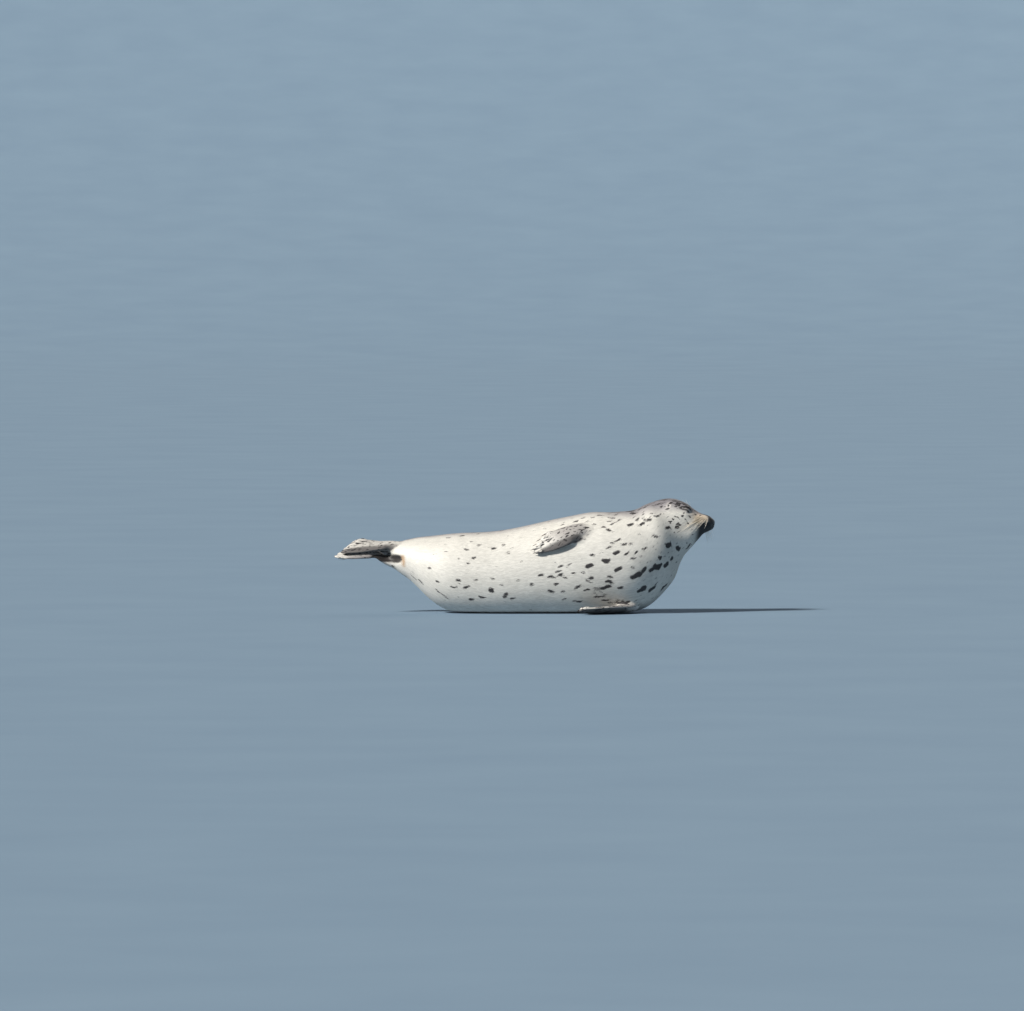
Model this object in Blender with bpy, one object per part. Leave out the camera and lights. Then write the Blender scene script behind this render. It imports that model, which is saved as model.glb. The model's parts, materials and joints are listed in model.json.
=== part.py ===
"""A life-size harbor seal, hauled out and resting on its left side.

The animal faces +X with its belly towards -Y and its back towards +Y. Head and hind
flippers are raised off the floor by a sideways bend of the body, so it lies on one
long flat of its left flank and on its left fore flipper. Metres, +Z up, floor at z = 0.
"""
import math

import bmesh
import bpy
import numpy as np
from mathutils import Matrix, Vector

GAP = 0.0003                 # clearance between neighbouring solids
FLOOR_SOFTNESS = 0.014       # height over which the flesh rounds down onto the floor
FILLET = 0.036               # reach of the rounding where the head meets the neck
BODY_CUT_OFFSET = 0.013      # cuts keep this clear of the section they are named for
HEAD_CUT_OFFSET = 0.005
BODY_CORNERS = 28            # round one section of the trunk
HEAD_CORNERS = 32            # round one section of the head
BODY_SPACING = 0.032         # between sections of the trunk
HEAD_SPACING = 0.0110        # between sections of the head
SECTION_SLANT = 0.3          # how sections lean on average, to find the one by a point
FIELD_ROUNDS = 6             # steps taken to find that section
FIELD_PACE = 0.8
FILLET_ROUNDS = 4            # steps taken to move a point out onto the fillet
FILLET_PROBE = 0.0005        # distance over which the fields' slopes are measured
FLATTEST_SLOPE = 0.25
SLIVER = 0.002               # triangles thinner than this are dropped after the join
SHARP_ANGLE = 50.0           # edges turned more than this are shaded sharp

# Stations of the body from the rump to the tip of the nose. Each is a section across
# the body: its centre, the lean of the section forward of upright, the roll of the back
# away from upright (90 puts the belly straight towards -Y), and the half widths to the
# side, to the back and to the belly.
# name            x       y      z      lean  roll  side   back   belly
STATIONS = (
    ("rump_end", -0.503, 0.004, 0.2130, -4, 79, 0.014, 0.018, 0.018),
    ("rump", -0.492, 0.004, 0.2125, -4, 79, 0.038, 0.044, 0.044),
    ("tail_root", -0.468, 0.003, 0.2110, -7, 79, 0.060, 0.066, 0.066),
    ("hips", -0.425, 0.002, 0.2060, -11, 79, 0.077, 0.088, 0.088),
    ("haunch", -0.372, 0.000, 0.1890, -13, 79, 0.102, 0.112, 0.112),
    ("loin", -0.305, 0.000, 0.1640, -11, 79, 0.136, 0.134, 0.137),
    ("flank_rear", -0.220, 0.000, 0.1470, -6, 79, 0.156, 0.144, 0.148),
    ("flank", -0.110, 0.000, 0.1420, 0, 79, 0.166, 0.148, 0.154),
    ("waist", 0.000, 0.000, 0.1500, 3, 79, 0.176, 0.150, 0.158),
    ("ribs_rear", 0.110, 0.000, 0.1610, 4, 79, 0.190, 0.152, 0.160),
    ("ribs", 0.210, 0.000, 0.1730, 6, 78, 0.198, 0.154, 0.162),
    ("chest", 0.305, 0.002, 0.1870, 11, 76, 0.199, 0.154, 0.162),
    ("shoulder", 0.389, 0.004, 0.1970, 19, 74, 0.194, 0.147, 0.158),
    ("neck_base", 0.446, 0.003, 0.2310, 26, 72, 0.173, 0.127, 0.143),
    ("neck", 0.4865, 0.001, 0.2590, 29, 70, 0.152, 0.106, 0.126),
    ("nape", 0.521, -0.003, 0.2950, 26, 68, 0.131, 0.082, 0.104),
    ("gullet", 0.555, -0.008, 0.2970, 26, 66, 0.093, 0.066, 0.074),
    ("throat", 0.594, -0.014, 0.2960, 25, 65, 0.061, 0.046, 0.050),
    ("under_jaw", 0.629, -0.019, 0.3020, 20, 64, 0.038, 0.031, 0.034),
    ("under_chin", 0.653, -0.022, 0.3070, 16, 63, 0.019, 0.016, 0.018),
)

# Stations of the head, which is the same on its left and right: depth behind the front
# of the muzzle, and the half widths to the side, up to the crown and down to the jaw.
HEAD_STATIONS = (
    ("nose_tip", -0.002, 0.008, 0.006, 0.007),
    ("nose_front", 0.002, 0.017, 0.010, 0.014),
    ("nose_back", 0.012, 0.027, 0.014, 0.022),
    ("whisker_pads", 0.034, 0.0385, 0.019, 0.034),
    ("snout", 0.061, 0.0440, 0.030, 0.043),
    ("stop", 0.086, 0.0530, 0.040, 0.052),
    ("eyes", 0.111, 0.0630, 0.051, 0.060),
    ("brow", 0.135, 0.0710, 0.062, 0.066),
    ("cheeks", 0.158, 0.0765, 0.067, 0.070),
    ("ears", 0.181, 0.0770, 0.0655, 0.070),
    ("back_of_head", 0.203, 0.0720, 0.0590, 0.064),
    ("nape_hollow", 0.228, 0.0620, 0.0475, 0.052),
    ("inner_end", 0.254, 0.0400, 0.0280, 0.032),
)

# Pieces from back to front, each ending at a plane across a named station of the body
# or of the head. Neighbours are parted by thin plane cuts.
PIECES = (
    ("hips", "loin"),
    ("abdomen", "ribs_rear"),
    ("chest", "shoulder"),
    ("neck", "nape"),
    ("head", "snout"),
    ("muzzle", "nose_back"),
    ("nose", None),
)

# The head's own axes, for everything that is the same on its left and right sides.
HEAD_POINT = (0.7060, -0.009, 0.3330)    # front of the muzzle on its middle line
HEAD_PITCH = -9.0                        # the snout points this far below level
HEAD_ROLL = 32.0
HEAD_YAW = 4.0                           # the snout turns this far towards -Y

# Forms modelled onto the head: depth behind the muzzle's front, distance out from the
# middle, height above it, reach of the form along each, and how far it stands out.
HEAD_FORMS = (
    ("whisker_pad", 0.030, 0.030, -0.004, 0.017, 0.013, 0.014, 0.0065),
    ("snout_hollow", 0.066, 0.042, 0.012, 0.017, 0.016, 0.018, -0.0050),
    ("eyelids", 0.111, 0.060, 0.008, 0.016, 0.012, 0.012, 0.0030),
    ("brow", 0.116, 0.050, 0.032, 0.022, 0.014, 0.012, 0.0040),
    ("cheek", 0.120, 0.060, -0.020, 0.030, 0.020, 0.022, 0.0040),
    ("chin", 0.038, 0.000, -0.036, 0.014, 0.016, 0.012, 0.0030),
    ("under_lip", 0.016, 0.000, -0.030, 0.008, 0.018, 0.010, -0.0015),
)

EYE_RADIUS = 0.0165
EYE_DEPTH = 0.111            # behind the muzzle's front
EYE_OUT = 0.0522             # out from the head's middle
EYE_HEIGHT = 0.0050
EYE_SEGMENTS = 14
EYE_BANDS = 9

# Flippers and tail. Each blade runs along a middle line from its root to its tip. Half
# widths and half thicknesses are read evenly along it, and its five digits are counted
# from the edge that leads in swimming. Reach is how far along the blade each digit ends.
FORE = {
    "length": 0.258,
    "half_widths": (0.033, 0.038, 0.041, 0.040, 0.035),
    "half_thicknesses": (0.0150, 0.0140, 0.0115, 0.0090, 0.0060),
    "reach": (0.975, 1.0, 0.97, 0.91, 0.83),
    "web": 0.014,
    "ridge": 0.16,
}
HIND_RIGHT = {
    "length": 0.286,
    "half_widths": (0.027, 0.029, 0.041, 0.055, 0.060),
    "half_thicknesses": (0.0260, 0.0215, 0.0130, 0.0095, 0.0055),
    "reach": (0.985, 0.94, 0.89, 0.85, 0.81),
    "web": 0.022,
    "ridge": 0.30,
}
HIND_LEFT = dict(HIND_RIGHT, length=0.318, half_thicknesses=(0.0250, 0.0205, 0.0125, 0.0090, 0.0055))
TAIL = {
    "length": 0.128,
    "half_widths": (0.026, 0.025, 0.023, 0.020, 0.014),
    "half_thicknesses": (0.0180, 0.0150, 0.0125, 0.0100, 0.0065),
    "reach": (0.93, 0.98, 1.0, 0.98, 0.93),
    "web": 0.0,
    "ridge": 0.0,
}
DIGIT_PLACES = (0.78, 0.39, 0.0, -0.39, -0.78)   # across a blade, from its leading edge
BLADE_CORNERS = 20
BLADE_SECTIONS = 14
RIM = 0.0012                 # half thickness of a blade's free end
RIM_POWER = 10               # a blade keeps its thickness until close to that end
EDGE_POWER = 0.85            # crowds the corners of a section towards its two edges
TIP_POWER = 3                # how late along the blade its sections follow its free edge
TIP_CROWDING = 1.35          # crowds the sections towards the free end
CORNER_START = 0.70          # the free end's two corners are rounded from here across
CORNER_ROUNDING = 0.0087
MIDDLE_STEP = 0.004          # distance over which a middle line's direction is measured

# The lines that the blades follow, root to tip, and how far their width leans from level.
HIND_RIGHT_LINE = ((-0.405, 0.000, 0.2460), (-0.455, -0.004, 0.2520), (-0.520, -0.006, 0.2500),
                   (-0.577, -0.006, 0.2490), (-0.632, -0.005, 0.2480), (-0.690, -0.004, 0.2470))
HIND_LEFT_LINE = ((-0.405, 0.000, 0.1780), (-0.455, -0.003, 0.1745), (-0.520, -0.005, 0.2000),
                  (-0.577, -0.005, 0.2225), (-0.632, -0.004, 0.2255), (-0.712, -0.003, 0.2320))
HIND_LEANS = (0.0, -2.0, -14.0, -21.0, -23.0, -23.0)
TAIL_LINE = ((-0.435, 0.028, 0.2080), (-0.470, 0.040, 0.2100), (-0.500, 0.050, 0.2120),
             (-0.530, 0.060, 0.2150), (-0.557, 0.068, 0.2180))
FORE_LEFT_LINE = ((0.408, -0.046, 0.0200), (0.362, -0.090, 0.0180), (0.308, -0.130, 0.0160),
                  (0.250, -0.162, 0.0150), (0.192, -0.188, 0.0135))
FORE_LEFT_LEANS = (6.0, 10.0, 14.0, 14.0, 12.0)

# The right fore flipper lies back along the flank. From its root in the shoulder it
# follows the body, this far round from the back and lifted this far off the surface.
FORE_RIGHT_ROOT = 0.290
FORE_RIGHT_TURNS = (121.0, 126.0, 132.0, 136.0, 137.5)
FORE_RIGHT_LIFTS = (-0.0200, 0.0010, 0.0145, 0.0125, 0.0090)

# Claws: length, radius at the root, how far back from the digit's end they sit, how
# steeply they leave the blade and how far they curl down, both as parts of the length.
FORE_CLAW = (0.021, 0.0036, 0.013, 0.10, 0.34)
HIND_CLAW = (0.020, 0.0026, 0.025, 0.42, 0.30)
CLAW_CORNERS = 6
CLAW_RINGS = (0.0, 0.35, 0.7, 1.0)
CLAW_SEAT = 0.35             # part of the blade's half thickness at which a claw is rooted
CLAW_TAPER = 0.86
CLAW_TAPER_POWER = 1.5
CLAW_FLATNESS = 0.75         # a claw's width over its height

COAT = (0.62, 0.59, 0.55, 1.0)
COAT_DARK = (0.30, 0.28, 0.28, 1.0)
SKIN_BLACK = (0.02, 0.02, 0.022, 1.0)
HORN_DARK = (0.035, 0.028, 0.025, 1.0)
EYE_DARK = (0.012, 0.010, 0.010, 1.0)


# ---------------------------------------------------------------- curves and sections

def spline(knots, values, at):
    """Natural cubic spline through values at knots, read at the places in at."""
    knots = np.asarray(knots, float)
    values = np.asarray(values, float)
    count = len(knots)
    step = np.diff(knots)
    slope = np.diff(values, axis=0) / step[:, None]
    system = np.eye(count)
    target = np.zeros_like(values)
    for i in range(1, count - 1):
        system[i, i - 1] = step[i - 1]
        system[i, i] = 2.0 * (step[i - 1] + step[i])
        system[i, i + 1] = step[i]
        target[i] = 6.0 * (slope[i] - slope[i - 1])
    bend = np.linalg.solve(system, target)
    at = np.atleast_1d(np.asarray(at, float))
    left = np.clip(np.searchsorted(knots, at) - 1, 0, count - 2)
    width = step[left][:, None]
    before = (at - knots[left])[:, None]
    after = (knots[left + 1] - at)[:, None]
    cubic = bend[left] * after ** 3 + bend[left + 1] * before ** 3
    line_left = (values[left] / width - bend[left] * width / 6.0) * after
    line_right = (values[left + 1] / width - bend[left + 1] * width / 6.0) * before
    return cubic / (6.0 * width) + line_left + line_right


BODY_NAMES = [row[0] for row in STATIONS]
BODY_VALUES = np.array([row[1:] for row in STATIONS], float)
BODY_PLACES = np.concatenate(
    ([0.0], np.cumsum(np.linalg.norm(np.diff(BODY_VALUES[:, :3], axis=0), axis=1))))
HEAD_NAMES = [row[0] for row in HEAD_STATIONS]
HEAD_VALUES = np.array([row[2:] for row in HEAD_STATIONS], float)
HEAD_DEPTHS = np.array([row[1] for row in HEAD_STATIONS], float)


def section_axes(lean, roll, yaw=0.0):
    """Forward, right, dorsal and upward axes of a section turned by these degrees."""
    turn = Matrix.Rotation(math.radians(-yaw), 3, "Z") @ Matrix.Rotation(math.radians(-lean), 3, "Y")
    forward = np.array(turn @ Vector((1.0, 0.0, 0.0)))
    upward = np.array(turn @ Vector((0.0, 0.0, 1.0)))
    near = np.array(turn @ Vector((0.0, -1.0, 0.0)))
    angle = math.radians(roll)
    right = math.cos(angle) * near + math.sin(angle) * upward
    dorsal = math.cos(angle) * upward - math.sin(angle) * near
    return forward, right, dorsal, upward


HEAD_AXES = section_axes(HEAD_PITCH, HEAD_ROLL, HEAD_YAW)


def head_spot(depth, out, height):
    """World place of a spot given in the head's own axes."""
    forward, right, dorsal, _ = HEAD_AXES
    return np.array(HEAD_POINT) - depth * forward + out * right + height * dorsal


def body_section(place):
    """Centre, axes and half widths of the body's section at a place along it."""
    x, y, z, lean, roll, side, back, belly = spline(BODY_PLACES, BODY_VALUES, place)[0]
    return np.array((x, y, z)), section_axes(lean, roll), (side, back, belly)


def head_section(depth):
    """Centre, axes and half widths of the head's section at a depth behind its front."""
    widths = spline(HEAD_DEPTHS, HEAD_VALUES, depth)[0]
    return head_spot(depth, 0.0, 0.0), HEAD_AXES, tuple(widths)


def head_relief(points):
    """How far the head's modelled forms stand out at these points."""
    forward, right, dorsal, _ = HEAD_AXES
    offset = points - np.array(HEAD_POINT)
    depth = -offset @ forward
    out = np.abs(offset @ right)
    height = offset @ dorsal
    relief = np.zeros(len(points))
    for _, at_depth, at_out, at_height, reach_depth, reach_out, reach_height, stand in HEAD_FORMS:
        far = ((depth - at_depth) / reach_depth) ** 2
        far = far + ((out - at_out) / reach_out) ** 2 + ((height - at_height) / reach_height) ** 2
        relief += stand * np.exp(-0.5 * far)
    return relief


def head_field(points):
    """About how far each point lies outside the head."""
    _, (forward, right, dorsal, _), _ = head_section(0.0)
    offset = points - np.array(HEAD_POINT)
    depth = -offset @ forward
    inside = np.clip(depth, HEAD_DEPTHS[0], HEAD_DEPTHS[-1])
    side, back, belly = spline(HEAD_DEPTHS, HEAD_VALUES, inside).T
    return spoke_distance(offset @ right, offset @ dorsal, side, back, belly, depth - inside)


def body_field(points):
    """About how far each point lies outside the trunk and neck."""
    slanted = BODY_VALUES[:, 0] + SECTION_SLANT * BODY_VALUES[:, 2]
    places = np.interp(points[:, 0] + SECTION_SLANT * points[:, 2], slanted, BODY_PLACES)
    for _ in range(FIELD_ROUNDS):
        values = spline(BODY_PLACES, BODY_VALUES, places)
        lean = np.radians(values[:, 3])
        ahead = (points[:, 0] - values[:, 0]) * np.cos(lean) + (points[:, 2] - values[:, 2]) * np.sin(lean)
        places = np.clip(places + FIELD_PACE * ahead, 0.0, BODY_PLACES[-1])
    values = spline(BODY_PLACES, BODY_VALUES, places)
    lean = np.radians(values[:, 3])
    roll = np.radians(values[:, 4])
    offset = points - values[:, :3]
    ahead = offset[:, 0] * np.cos(lean) + offset[:, 2] * np.sin(lean)
    upward = -offset[:, 0] * np.sin(lean) + offset[:, 2] * np.cos(lean)
    near = -offset[:, 1]
    right = np.cos(roll) * near + np.sin(roll) * upward
    dorsal = np.cos(roll) * upward - np.sin(roll) * near
    side, back, belly = values[:, 5:].T
    return spoke_distance(right, dorsal, side, back, belly, ahead)


def spoke_distance(right, dorsal, side, back, belly, beyond):
    """Distance out from a section's edge along the spoke through a point."""
    depth = np.where(dorsal > 0.0, back, belly)
    spoke = np.hypot(right, dorsal) + 1e-9
    share = np.sqrt((right / side) ** 2 + (dorsal / depth) ** 2) + 1e-9
    out = spoke - spoke / share
    return np.where(np.abs(beyond) > 0.001, np.hypot(np.maximum(out, 0.0), beyond), out)


def joined_field(points):
    """The two fields, flowing into each other where both surfaces are close by."""
    head = head_field(points)
    body = body_field(points)
    overlap = np.maximum(FILLET - np.abs(head - body), 0.0) / FILLET
    return np.minimum(head, body) - 0.25 * FILLET * overlap * overlap


def blended(points):
    """Move points near the seam of head and neck out onto a rounded fillet."""
    relief = np.minimum(head_field(points), body_field(points))
    for _ in range(FILLET_ROUNDS):
        level = joined_field(points)
        slopes = [joined_field(points + FILLET_PROBE * axis) - level for axis in np.eye(3)]
        gradient = np.array(slopes).T / FILLET_PROBE
        steepness = np.maximum((gradient ** 2).sum(axis=1), FLATTEST_SLOPE)
        points = points - ((level - relief) / steepness)[:, None] * gradient
    return points


def settle(heights):
    """Flesh pressed flat on the floor: zero below it, rounding up smoothly above it."""
    rounded = (heights + FLOOR_SOFTNESS) ** 2 / (4.0 * FLOOR_SOFTNESS)
    rounded = np.where(heights > FLOOR_SOFTNESS, heights, rounded)
    return np.where(heights < -FLOOR_SOFTNESS, 0.0, rounded)


def section_ring(section, relief=None, corners=BODY_CORNERS):
    """Corners of one section, from the back over the right side to the belly."""
    centre, (_, right, dorsal, upward), (side, back, belly) = section
    turn = np.arange(corners) * 2.0 * math.pi / corners
    sine = np.sin(turn)
    cosine = np.cos(turn)
    depth = np.where(cosine > 0.0, back, belly)
    points = centre + (side * sine)[:, None] * right + (depth * cosine)[:, None] * dorsal
    if relief is not None:
        outward = (sine / side)[:, None] * right + (cosine / depth)[:, None] * dorsal
        outward /= np.linalg.norm(outward, axis=1)[:, None]
        points = points + relief(points)[:, None] * outward
    lift = settle(points[:, 2]) - points[:, 2]
    return points + (lift / upward[2])[:, None] * upward


def body_spot(place, turn, lift=0.0):
    """A point over the body's surface, turned this far round from the back."""
    centre, (_, right, dorsal, _), (side, back, belly) = body_section(place)
    depth = back if math.cos(turn) > 0.0 else belly
    spoke = side * math.sin(turn) * right + depth * math.cos(turn) * dorsal
    outward = math.sin(turn) / side * right + math.cos(turn) / depth * dorsal
    return centre + spoke + lift * outward / np.linalg.norm(outward)


# ---------------------------------------------------------------- meshes and materials

def material(name, colour, roughness):
    """A plain finish for one kind of surface."""
    finish = bpy.data.materials.new(name)
    finish.use_nodes = True
    shader = finish.node_tree.nodes["Principled BSDF"]
    shader.inputs["Base Color"].default_value = colour
    shader.inputs["Roughness"].default_value = roughness
    shader.inputs["Metallic"].default_value = 0.0
    return finish


def lofted(name, rings, finish, collection):
    """A closed solid through rings of corners, capped flat at both ends."""
    corners = len(rings[0])
    sculpt = bmesh.new()
    loops = [[sculpt.verts.new(point) for point in ring] for ring in rings]
    for near, far in zip(loops, loops[1:]):
        for i in range(corners):
            j = (i + 1) % corners
            sculpt.faces.new((near[i], near[j], far[j], far[i]))
    sculpt.faces.new(list(reversed(loops[0])))
    sculpt.faces.new(loops[-1])
    bmesh.ops.recalc_face_normals(sculpt, faces=sculpt.faces)
    return finished(name, sculpt, finish, collection)


def finished(name, sculpt, finish, collection):
    """Turn a sculpted mesh into a named, shaded object."""
    mesh = bpy.data.meshes.new(name)
    sculpt.to_mesh(mesh)
    sculpt.free()
    mesh.shade_smooth()
    mesh.set_sharp_from_angle(angle=math.radians(SHARP_ANGLE))
    if finish is not None:
        mesh.materials.append(finish)
    solid = bpy.data.objects.new(name, mesh)
    collection.objects.link(solid)
    return solid


def hidden(tool):
    """Keep a solid that only cuts others out of sight."""
    tool.display_type = "WIRE"
    tool.hide_render = True
    return tool


def cut(solid, tool):
    """Take the tool's space out of the solid."""
    step = solid.modifiers.new("cut_" + tool.name, "BOOLEAN")
    step.operation = "DIFFERENCE"
    step.object = tool
    return step


# ---------------------------------------------------------------- body

def spread(knots, spacing):
    """Places along a run of stations, spaced evenly between each pair."""
    places = [knots[0]]
    for start, end in zip(knots, knots[1:]):
        count = max(1, round((end - start) / spacing))
        places.extend(start + (end - start) * (i + 1) / count for i in range(count))
    return places


def whole_body(collection):
    """The trunk and neck with the head joined on, as one closed solid."""
    trunk_rings = [section_ring(body_section(place)) for place in spread(BODY_PLACES, BODY_SPACING)]
    head_rings = [section_ring(head_section(depth), head_relief, HEAD_CORNERS)
                  for depth in spread(HEAD_DEPTHS, HEAD_SPACING)]
    trunk = lofted("trunk_form", trunk_rings, None, collection)
    head = lofted("head_form", head_rings, None, collection)
    join = trunk.modifiers.new("join_head", "BOOLEAN")
    join.operation = "UNION"
    join.object = head
    bpy.context.view_layer.update()
    shape = evaluated_mesh(trunk)
    bpy.data.objects.remove(trunk)
    bpy.data.objects.remove(head)
    sculpt = bmesh.new()
    sculpt.from_mesh(shape)
    bmesh.ops.triangulate(sculpt, faces=sculpt.faces)
    bmesh.ops.dissolve_degenerate(sculpt, dist=SLIVER, edges=sculpt.edges)
    points = np.array([vertex.co for vertex in sculpt.verts], float)
    for vertex, point in zip(sculpt.verts, blended(points)):
        vertex.co = point
    sculpt.to_mesh(shape)
    sculpt.free()
    return shape


def evaluated_mesh(thing):
    """A new mesh holding an object's shape after its modifiers."""
    graph = bpy.context.evaluated_depsgraph_get()
    return bpy.data.meshes.new_from_object(thing.evaluated_get(graph), depsgraph=graph)


def plane_across(station):
    """Middle and forward direction of the cut just past a named station."""
    if station in BODY_NAMES:
        place = BODY_PLACES[BODY_NAMES.index(station)] + BODY_CUT_OFFSET
        centre, axes, _ = body_section(place)
    else:
        depth = HEAD_DEPTHS[HEAD_NAMES.index(station)] + HEAD_CUT_OFFSET
        centre, axes, _ = head_section(depth)
    return centre, axes[0]


def trimmed(sculpt, point, normal):
    """Take away what lies in front of a plane and close the cut flat."""
    geometry = list(sculpt.verts) + list(sculpt.edges) + list(sculpt.faces)
    bmesh.ops.bisect_plane(sculpt, geom=geometry, dist=1e-7, plane_co=Vector(point),
                           plane_no=Vector(normal), clear_outer=True)
    rim = [edge for edge in sculpt.edges if edge.is_boundary]
    bmesh.ops.holes_fill(sculpt, edges=rim, sides=0)


def build_body(finishes, collection, tools):
    """The trunk, neck and head, parted into pieces by thin plane cuts."""
    shape = whole_body(tools)
    pieces = {}
    rear = None
    for name, station in PIECES:
        sculpt = bmesh.new()
        sculpt.from_mesh(shape)
        if rear is not None:
            point, forward = plane_across(rear)
            trimmed(sculpt, point + 0.5 * GAP * forward, -forward)
        if station is not None:
            point, forward = plane_across(station)
            trimmed(sculpt, point - 0.5 * GAP * forward, forward)
        finish = finishes["nose"] if name == "nose" else finishes["coat"]
        pieces[name] = finished(name, sculpt, finish, collection)
        rear = station
    return pieces, grown_body(shape, tools)


def grown_body(shape, tools):
    """The whole body swollen by the clearance, to trim what lies against it."""
    grown = bpy.data.objects.new("grown_body", shape)
    tools.objects.link(grown)
    swell = grown.modifiers.new("swell", "DISPLACE")
    swell.strength = GAP
    swell.mid_level = 0.0
    return hidden(grown)


def build_eyes(head, finishes, collection, tools):
    """Two eyeballs set into sockets in the head."""
    for side_name, side in (("right", 1.0), ("left", -1.0)):
        centre = head_spot(EYE_DEPTH, side * EYE_OUT, EYE_HEIGHT)
        ball = sphere("eye_" + side_name, centre, EYE_RADIUS, collection)
        ball.data.materials.append(finishes["eye"])
        socket = sphere("socket_" + side_name, centre, EYE_RADIUS + GAP, tools)
        cut(head, hidden(socket))


def sphere(name, centre, radius, collection):
    """A ball made from a primitive."""
    sculpt = bmesh.new()
    bmesh.ops.create_uvsphere(sculpt, u_segments=EYE_SEGMENTS, v_segments=EYE_BANDS, radius=radius)
    mesh = bpy.data.meshes.new(name)
    sculpt.to_mesh(mesh)
    sculpt.free()
    mesh.shade_smooth()
    ball = bpy.data.objects.new(name, mesh)
    ball.location = centre
    collection.objects.link(ball)
    return ball


# ---------------------------------------------------------------- flippers, tail and claws

def unit(vector):
    """The same direction with length one."""
    return vector / np.linalg.norm(vector)


def free_map(line, leans, level, rise):
    """World place of a spot on a blade that follows a free line.

    The width points along level, leaned towards rise by the angles in leans."""
    line = np.array(line, float)
    steps = np.linalg.norm(np.diff(line, axis=0), axis=1)
    places = np.concatenate(([0.0], np.cumsum(steps)))
    leans = np.array(leans, float)[:, None]
    level = np.array(level, float)
    rise = np.array(rise, float)

    def spot(along, across, off):
        place = min(max(along, 0.0), places[-1])
        middle = spline(places, line, place)[0]
        ahead = spline(places, line, min(place + MIDDLE_STEP, places[-1]))[0]
        behind = spline(places, line, max(place - MIDDLE_STEP, 0.0))[0]
        forward = unit(ahead - behind)
        lean = math.radians(spline(places, leans, place)[0][0])
        width = math.cos(lean) * level + math.sin(lean) * rise
        width = unit(width - (width @ forward) * forward)
        normal = np.cross(forward, width)
        return middle + (along - place) * forward + across * width + off * normal

    return spot


def flank_map(root_x, turns, lifts, length):
    """World place of a spot on a blade that lies back along the body's flank."""
    places = np.linspace(0.0, length, len(turns))
    course = np.array((turns, lifts), float).T
    root = float(np.interp(root_x, BODY_VALUES[:, 0], BODY_PLACES))

    def spot(along, across, off):
        turn, lift = spline(places, course, along)[0]
        place = root - along
        _, _, (side, _, belly) = body_section(place)
        round_radius = 0.5 * (side + belly)
        return body_spot(place, math.radians(turn) + across / round_radius, lift + off)

    return spot


def blade_reach(blade, across):
    """How far along the blade its free edge lies, across from -1 to 1."""
    places = np.array(DIGIT_PLACES[::-1])
    reach = np.interp(across, places, blade["reach"][::-1])
    digit = (DIGIT_PLACES[0] - across) / (DIGIT_PLACES[0] - DIGIT_PLACES[1])
    web = blade["web"] * math.sin(math.pi * digit) ** 2
    corner = max(0.0, abs(across) - CORNER_START) / (1.0 - CORNER_START)
    return reach - web - CORNER_ROUNDING * corner * corner


def blade_half(blade, key, part):
    """Half width or half thickness of a blade this part of the way along."""
    values = np.array(blade[key], float)[:, None]
    return float(spline(np.linspace(0.0, 1.0, len(values)), values, part)[0][0])


def blade_point(blade, spot, part, angle, grow=0.0):
    """A point on a blade's surface: part of the way along, angle round the section."""
    across = math.cos(angle)
    wide = math.copysign(abs(across) ** EDGE_POWER, across)
    thin = math.sin(angle)
    reach = blade_reach(blade, wide)
    along = blade["length"] * part * (1.0 + (reach - 1.0) * part ** TIP_POWER)
    half_width = blade_half(blade, "half_widths", part) + grow
    half_thickness = blade_half(blade, "half_thicknesses", part)
    rounding = math.sqrt(max(0.0, 1.0 - part ** RIM_POWER))
    half_thickness = RIM + (half_thickness - RIM) * rounding + grow
    digit = (DIGIT_PLACES[0] - wide) / (DIGIT_PLACES[0] - DIGIT_PLACES[1])
    relief = 1.0 + blade["ridge"] * part * (math.cos(math.pi * digit) ** 2 - 0.5)
    if part >= 1.0:
        along += grow
    return spot(along, wide * half_width, thin * half_thickness * relief)


def blade_rings(blade, spot, grow=0.0, floor=False):
    """Sections of a blade from root to free end."""
    steps = np.linspace(0.0, 1.0, BLADE_SECTIONS)
    parts = 1.0 - (1.0 - steps) ** TIP_CROWDING
    angles = [2.0 * math.pi * i / BLADE_CORNERS for i in range(BLADE_CORNERS)]
    rings = []
    for part in parts:
        ring = np.array([blade_point(blade, spot, part, angle, grow) for angle in angles])
        if floor:
            ring[:, 2] = np.maximum(ring[:, 2], 0.0)
        rings.append(ring)
    return rings


def blade_solid(name, rings, finish, collection):
    """A closed blade whose far end is a strip along its rim."""
    corners = BLADE_CORNERS
    sculpt = bmesh.new()
    loops = [[sculpt.verts.new(point) for point in ring] for ring in rings]
    for near, far in zip(loops, loops[1:]):
        for i in range(corners):
            j = (i + 1) % corners
            sculpt.faces.new((near[i], near[j], far[j], far[i]))
    for rim in (loops[0], loops[-1]):
        for i in range(1, corners // 2 - 1):
            sculpt.faces.new((rim[i], rim[i + 1], rim[corners - i - 1], rim[corners - i]))
        sculpt.faces.new((rim[0], rim[1], rim[corners - 1]))
        sculpt.faces.new((rim[corners // 2 - 1], rim[corners // 2], rim[corners // 2 + 1]))
    bmesh.ops.recalc_face_normals(sculpt, faces=sculpt.faces)
    return finished(name, sculpt, finish, collection)


def build_blade(name, blade, spot, finish, collection, tools, body, floor=False):
    """One flipper or the tail, trimmed where it meets the body."""
    solid = blade_solid(name, blade_rings(blade, spot, 0.0, floor), finish, collection)
    cut(solid, body)
    tool = blade_solid("grown_" + name, blade_rings(blade, spot, GAP), None, tools)
    return hidden(tool)


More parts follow.
